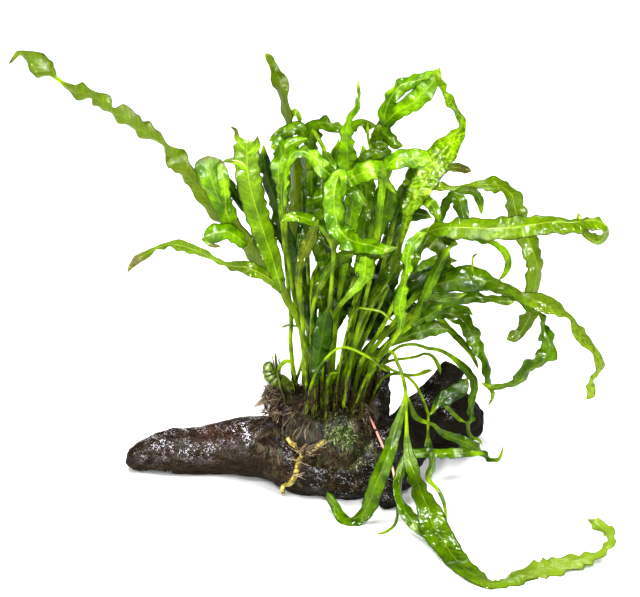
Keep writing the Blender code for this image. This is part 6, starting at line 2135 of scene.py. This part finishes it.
def place_ring(body: bmesh.types.BMesh, ring: list[Vector], middle: Vector, half_width: float,
               half_thick: float) -> None:
    """Skin a closed band through the points of a ring.

    Args:
        body: the mesh that the band is added to.
        ring: the points, which go once round.
        middle: the middle of the ring.
        half_width: half the band's width.
        half_thick: half its thickness.
    """
    edges = []
    for index, point in enumerate(ring):
        tangent = (ring[(index + 1) % len(ring)] - ring[index - 1]).normalized()
        out = point - middle
        out = (out - tangent * out.dot(tangent)).normalized()
        place = placing(point, out.cross(tangent), out, tangent, half_width, half_thick)
        made = bmesh.ops.create_circle(body, segments=10, radius=1.0, matrix=place)["verts"]
        edges.append(list({edge for vert in made for edge in vert.link_edges}))
    for low, high in zip(edges, edges[1:] + edges[:1]):
        bmesh.ops.bridge_loops(body, edges=low + high)
    bmesh.ops.recalc_face_normals(body, faces=body.faces[:])


@dataclass
class Tie:
    """The pink band that holds the plant on: it leans over the roots and goes round the trunk."""

    passes: tuple = (21.0, 36.8)
    lean: float = 0.54
    steep_below: float = 14.0
    centre_back: float = 9.0
    centre_height: float = 23.0
    width: float = 1.4
    thickness: float = 0.7
    standoff: float = 2.2
    sunk: float = -3.0
    sinks_at: float = 46.5
    sinks_over: float = 4.0
    rays: int = 40
    stations: int = 160
    thread_at: tuple = (21.0, 36.0)
    thread_turns: int = 4
    thread_width: float = 0.4
    thread_spacing: float = 0.34
    thread_hoop: tuple = (0.62, 0.95)
    thread_stations: int = 16

    def loop(self) -> list[Vector]:
        """Find where the band lies: on the roots and the wood in front, buried on top.

        Returns:
            Its points, once round.
        """
        tree = surface_of("root_mat", "wood_trunk", "wood_right_limb", "wood_front_foot")
        points = []
        shown = self.centre_height
        for step in range(2 * self.rays):
            angle = 2.0 * math.pi * step / self.rays
            out = Vector((0.0, -math.cos(angle), math.sin(angle)))
            for _ in range(3):
                across = self.passes[0] + self.lean * (self.passes[1] - max(shown, self.steep_below))
                start = Vector((across, self.centre_back, self.centre_height)) + out * OUTSIDE
                hit = tree.ray_cast(start, -out)[0]
                near = Vector((hit.x, self.centre_back - abs(hit.y - self.centre_back), hit.z))
                shown = 0.5 * (shown + seen_up(near))
            share = min(1.0, max(0.0, (shown - self.sinks_at) / self.sinks_over))
            points.append(hit + out * (self.standoff + (self.sunk - self.standoff) * share))
        return points[self.rays:]

    def ring(self) -> list[Vector]:
        """Ease the band's loop and space its stations finely along it.

        Returns:
            The stations.
        """
        loop = self.loop()
        for _ in range(3):
            loop = [(low + point * 2 + high) / 4
                    for low, point, high in zip(loop[-1:] + loop, loop, loop[1:] + loop[:1])]
        fine = refine(np.array(loop[-2:] + loop + loop[:2]), self.rays / self.stations)
        keep = [Vector(row) for row in fine]
        start = min(range(len(keep)), key=lambda index: (keep[index] - loop[0]).length)
        return keep[start:start + self.stations]

    def wind_thread(self, ring: list[Vector], middle: Vector) -> bmesh.types.BMesh:
        """Wind the dark thread round the band, above the wood.

        Args:
            ring: the band's stations.
            middle: the middle of the band's loop.

        Returns:
            The thread's turns.
        """
        across, up = self.thread_at
        near = min((point for point in ring if point.y < self.centre_back),
                   key=lambda point: math.hypot(point.x - across, seen_up(point) - up))
        index = ring.index(near)
        tangent = (ring[index + 1] - ring[index - 1]).normalized()
        out = (near - middle - tangent * (near - middle).dot(tangent)).normalized()
        high, wide = self.thread_hoop
        body = bmesh.new()
        for turn in range(self.thread_turns):
            at = near + tangent * (self.thread_spacing * (turn - 0.5 * (self.thread_turns - 1)))
            hoop = []
            for step in range(self.thread_stations):
                angle = 2.0 * math.pi * step / self.thread_stations
                hoop.append(at + out * (high * math.sin(angle))
                            + out.cross(tangent) * (wide * math.cos(angle)))
            place_ring(body, hoop, at, self.thread_width / 2, self.thread_width / 2)
        return body

    def build(self) -> None:
        """Lay the band and wind the dark thread on it."""
        ring = self.ring()
        middle = sum(ring, Vector()) / len(ring)
        body = bmesh.new()
        place_ring(body, ring, middle, self.width / 2, self.thickness / 2)
        rubber = StemFinish("pink rubber band", "#e8a08c", "#d07f6c", 0.0, 2.0, 0.4)
        place_piece("tie_band", body, [rubber.material()], "tie", "tie_band")
        thread = StemFinish("black thread", "#101010", "#050505", 0.0, 1.0, 0.5)
        place_piece("tie_thread", self.wind_thread(ring, middle), [thread.material()], "tie")


# --- Floor, light and camera --------------------------------------------------------------------

@dataclass
class Studio:
    """A pale floor under soft light, and the camera at the photograph's angle, in metres.

    Each lamp is its name, its place, the length of its side and its power in watts.
    """

    lamps: tuple = (
        ("key", (-0.2, -0.2, 1.5), 0.22, 17.0),
        ("high front", (-0.4, -0.9, 1.2), 0.14, 7.0),
        ("high right", (0.6, -0.8, 1.15), 0.14, 6.0),
        ("low front", (0.15, -1.4, 0.8), 0.14, 6.0),
        ("low left", (-0.7, -1.2, 0.6), 0.12, 3.5),
        ("low right", (0.8, -1.1, 0.6), 0.12, 3.5),
        ("side", (-1.1, -0.6, 0.9), 0.14, 3.0),
        ("back", (0.3, 0.9, 1.2), 0.5, 6.0),
    )
    card_azimuths: tuple = (-50, -25, 0, 25, 50)
    card_heights: tuple = (4, 16, 30, 46)
    card_distance: float = 1.6
    card_size: float = 0.1
    card_power: float = 8.0
    lamp_aim: tuple = (0.0, 0.02, 0.10)
    world_strength: float = 0.25
    floor_size: float = 4.0
    picture_width_mm: float = 352.0
    picture_centre_mm: tuple = (-8.25, 109.2)
    camera_distance_mm: float = 8000.0
    sensor_mm: float = 36.0

    def build(self) -> None:
        """Make the floor, the lights, the world and the camera."""
        self.add_floor()
        self.add_camera()
        for lamp in self.lamps:
            self.add_lamp(*lamp)
        for azimuth in self.card_azimuths:
            for height in self.card_heights:
                self.add_glint_card(math.radians(azimuth), math.radians(height))
        world = bpy.data.worlds.new("soft daylight")
        world.use_nodes = True
        sky = world.node_tree.nodes["Background"]
        sky.inputs["Color"].default_value = linear("#fbfcff")
        sky.inputs["Strength"].default_value = self.world_strength
        bpy.context.scene.world = world
        bpy.context.scene.view_settings.view_transform = "Standard"
        bpy.context.scene.view_settings.look = "High Contrast"

    def add_floor(self) -> None:
        """Lay the plain pale floor."""
        body = bmesh.new()
        bmesh.ops.create_grid(body, x_segments=1, y_segments=1, size=self.floor_size)
        mesh = bpy.data.meshes.new("floor")
        body.to_mesh(mesh)
        body.free()
        material, tree = blank_material("white painted floor")
        paint = add_node(tree, "BsdfPrincipled", {"Base Color": "#f7f7f7", "Roughness": 0.9})
        add_node(tree, "OutputMaterial", {"Surface": paint})
        mesh.materials.append(material)
        floor = bpy.data.objects.new("floor", mesh)
        bpy.context.scene.collection.objects.link(floor)

    def add_lamp(self, name: str, place: tuple, size: float, power: float) -> bpy.types.Object:
        """Hang a square soft lamp that faces the plant.

        Args:
            name: the lamp's name.
            place: where it hangs.
            size: the length of its side.
            power: how strong it is, in watts.

        Returns:
            The lamp.
        """
        light = bpy.data.lights.new(name, "AREA")
        light.size = size
        light.energy = power
        lamp = bpy.data.objects.new(name, light)
        lamp.location = place
        aim = Vector(self.lamp_aim) - Vector(place)
        lamp.rotation_euler = aim.to_track_quat("-Z", "Y").to_euler()
        bpy.context.scene.collection.objects.link(lamp)
        return lamp

    def add_glint_card(self, azimuth: float, height: float) -> None:
        """Hang a small bright card that shows only as glints in the water film.

        Args:
            azimuth: its direction round the plant, from the front, in radians.
            height: its angle above the floor, in radians.
        """
        level = self.card_distance * math.cos(height)
        place = (level * math.sin(azimuth), -level * math.cos(azimuth), self.card_distance * math.sin(height))
        card = self.add_lamp("glint card", place, self.card_size, self.card_power)
        card.visible_diffuse = False

    def add_camera(self) -> None:
        """Set the camera where the photograph was taken from."""
        data = bpy.data.cameras.new("camera")
        data.sensor_width = self.sensor_mm
        data.lens = data.sensor_width * self.camera_distance_mm / self.picture_width_mm
        data.clip_end = 100.0
        camera = bpy.data.objects.new("camera", data)
        target = ACROSS * self.picture_centre_mm[0] + RISE * self.picture_centre_mm[1]
        camera.location = (target - SIGHT * self.camera_distance_mm) * MM
        camera.rotation_euler = SIGHT.to_track_quat("-Z", "Y").to_euler()
        bpy.context.scene.collection.objects.link(camera)
        bpy.context.scene.camera = camera


@dataclass
class Fern:
    """The whole plant: the traced fronds, and the small leaves between them."""

    foot_points: int = 6

    def build(self) -> list:
        """Settle the fronds, then the small leaves between them, and build them all.

        Returns:
            Where each frond's petiole leaves the roots, as its first points.
        """
        plant = [ribbons_of(frond) for frond in FRONDS]
        settle(plant)
        grown = {frond.name: ribbons for frond, ribbons in zip(FRONDS, plant)}
        plant += [[sprig_ribbon(sprig, grown[sprig.parent])] for sprig in SPRIGS]
        settle(plant, len(FRONDS))
        finishes = {tone: finish.material() for tone, finish in LEAF_FINISHES.items()}
        for leaf, ribbons in zip(FRONDS + SPRIGS, plant):
            build_leaf(leaf, ribbons, finishes[leaf.tone])
        return [[row[0] for row in ribbons[0].frames()[:self.foot_points]] for ribbons in plant[:len(FRONDS)]]


def main() -> None:
    """Build the studio, the plant, the wood and what holds them together, in order."""
    logging.basicConfig(level=logging.INFO, format="%(message)s")
    Studio().build()
    feet = Fern().build()
    Driftwood().build()
    RootMat(feet).build()
    Moss().build()
    Rhizomes().build()
    Tie().build()


if __name__ == "__main__":
    main()
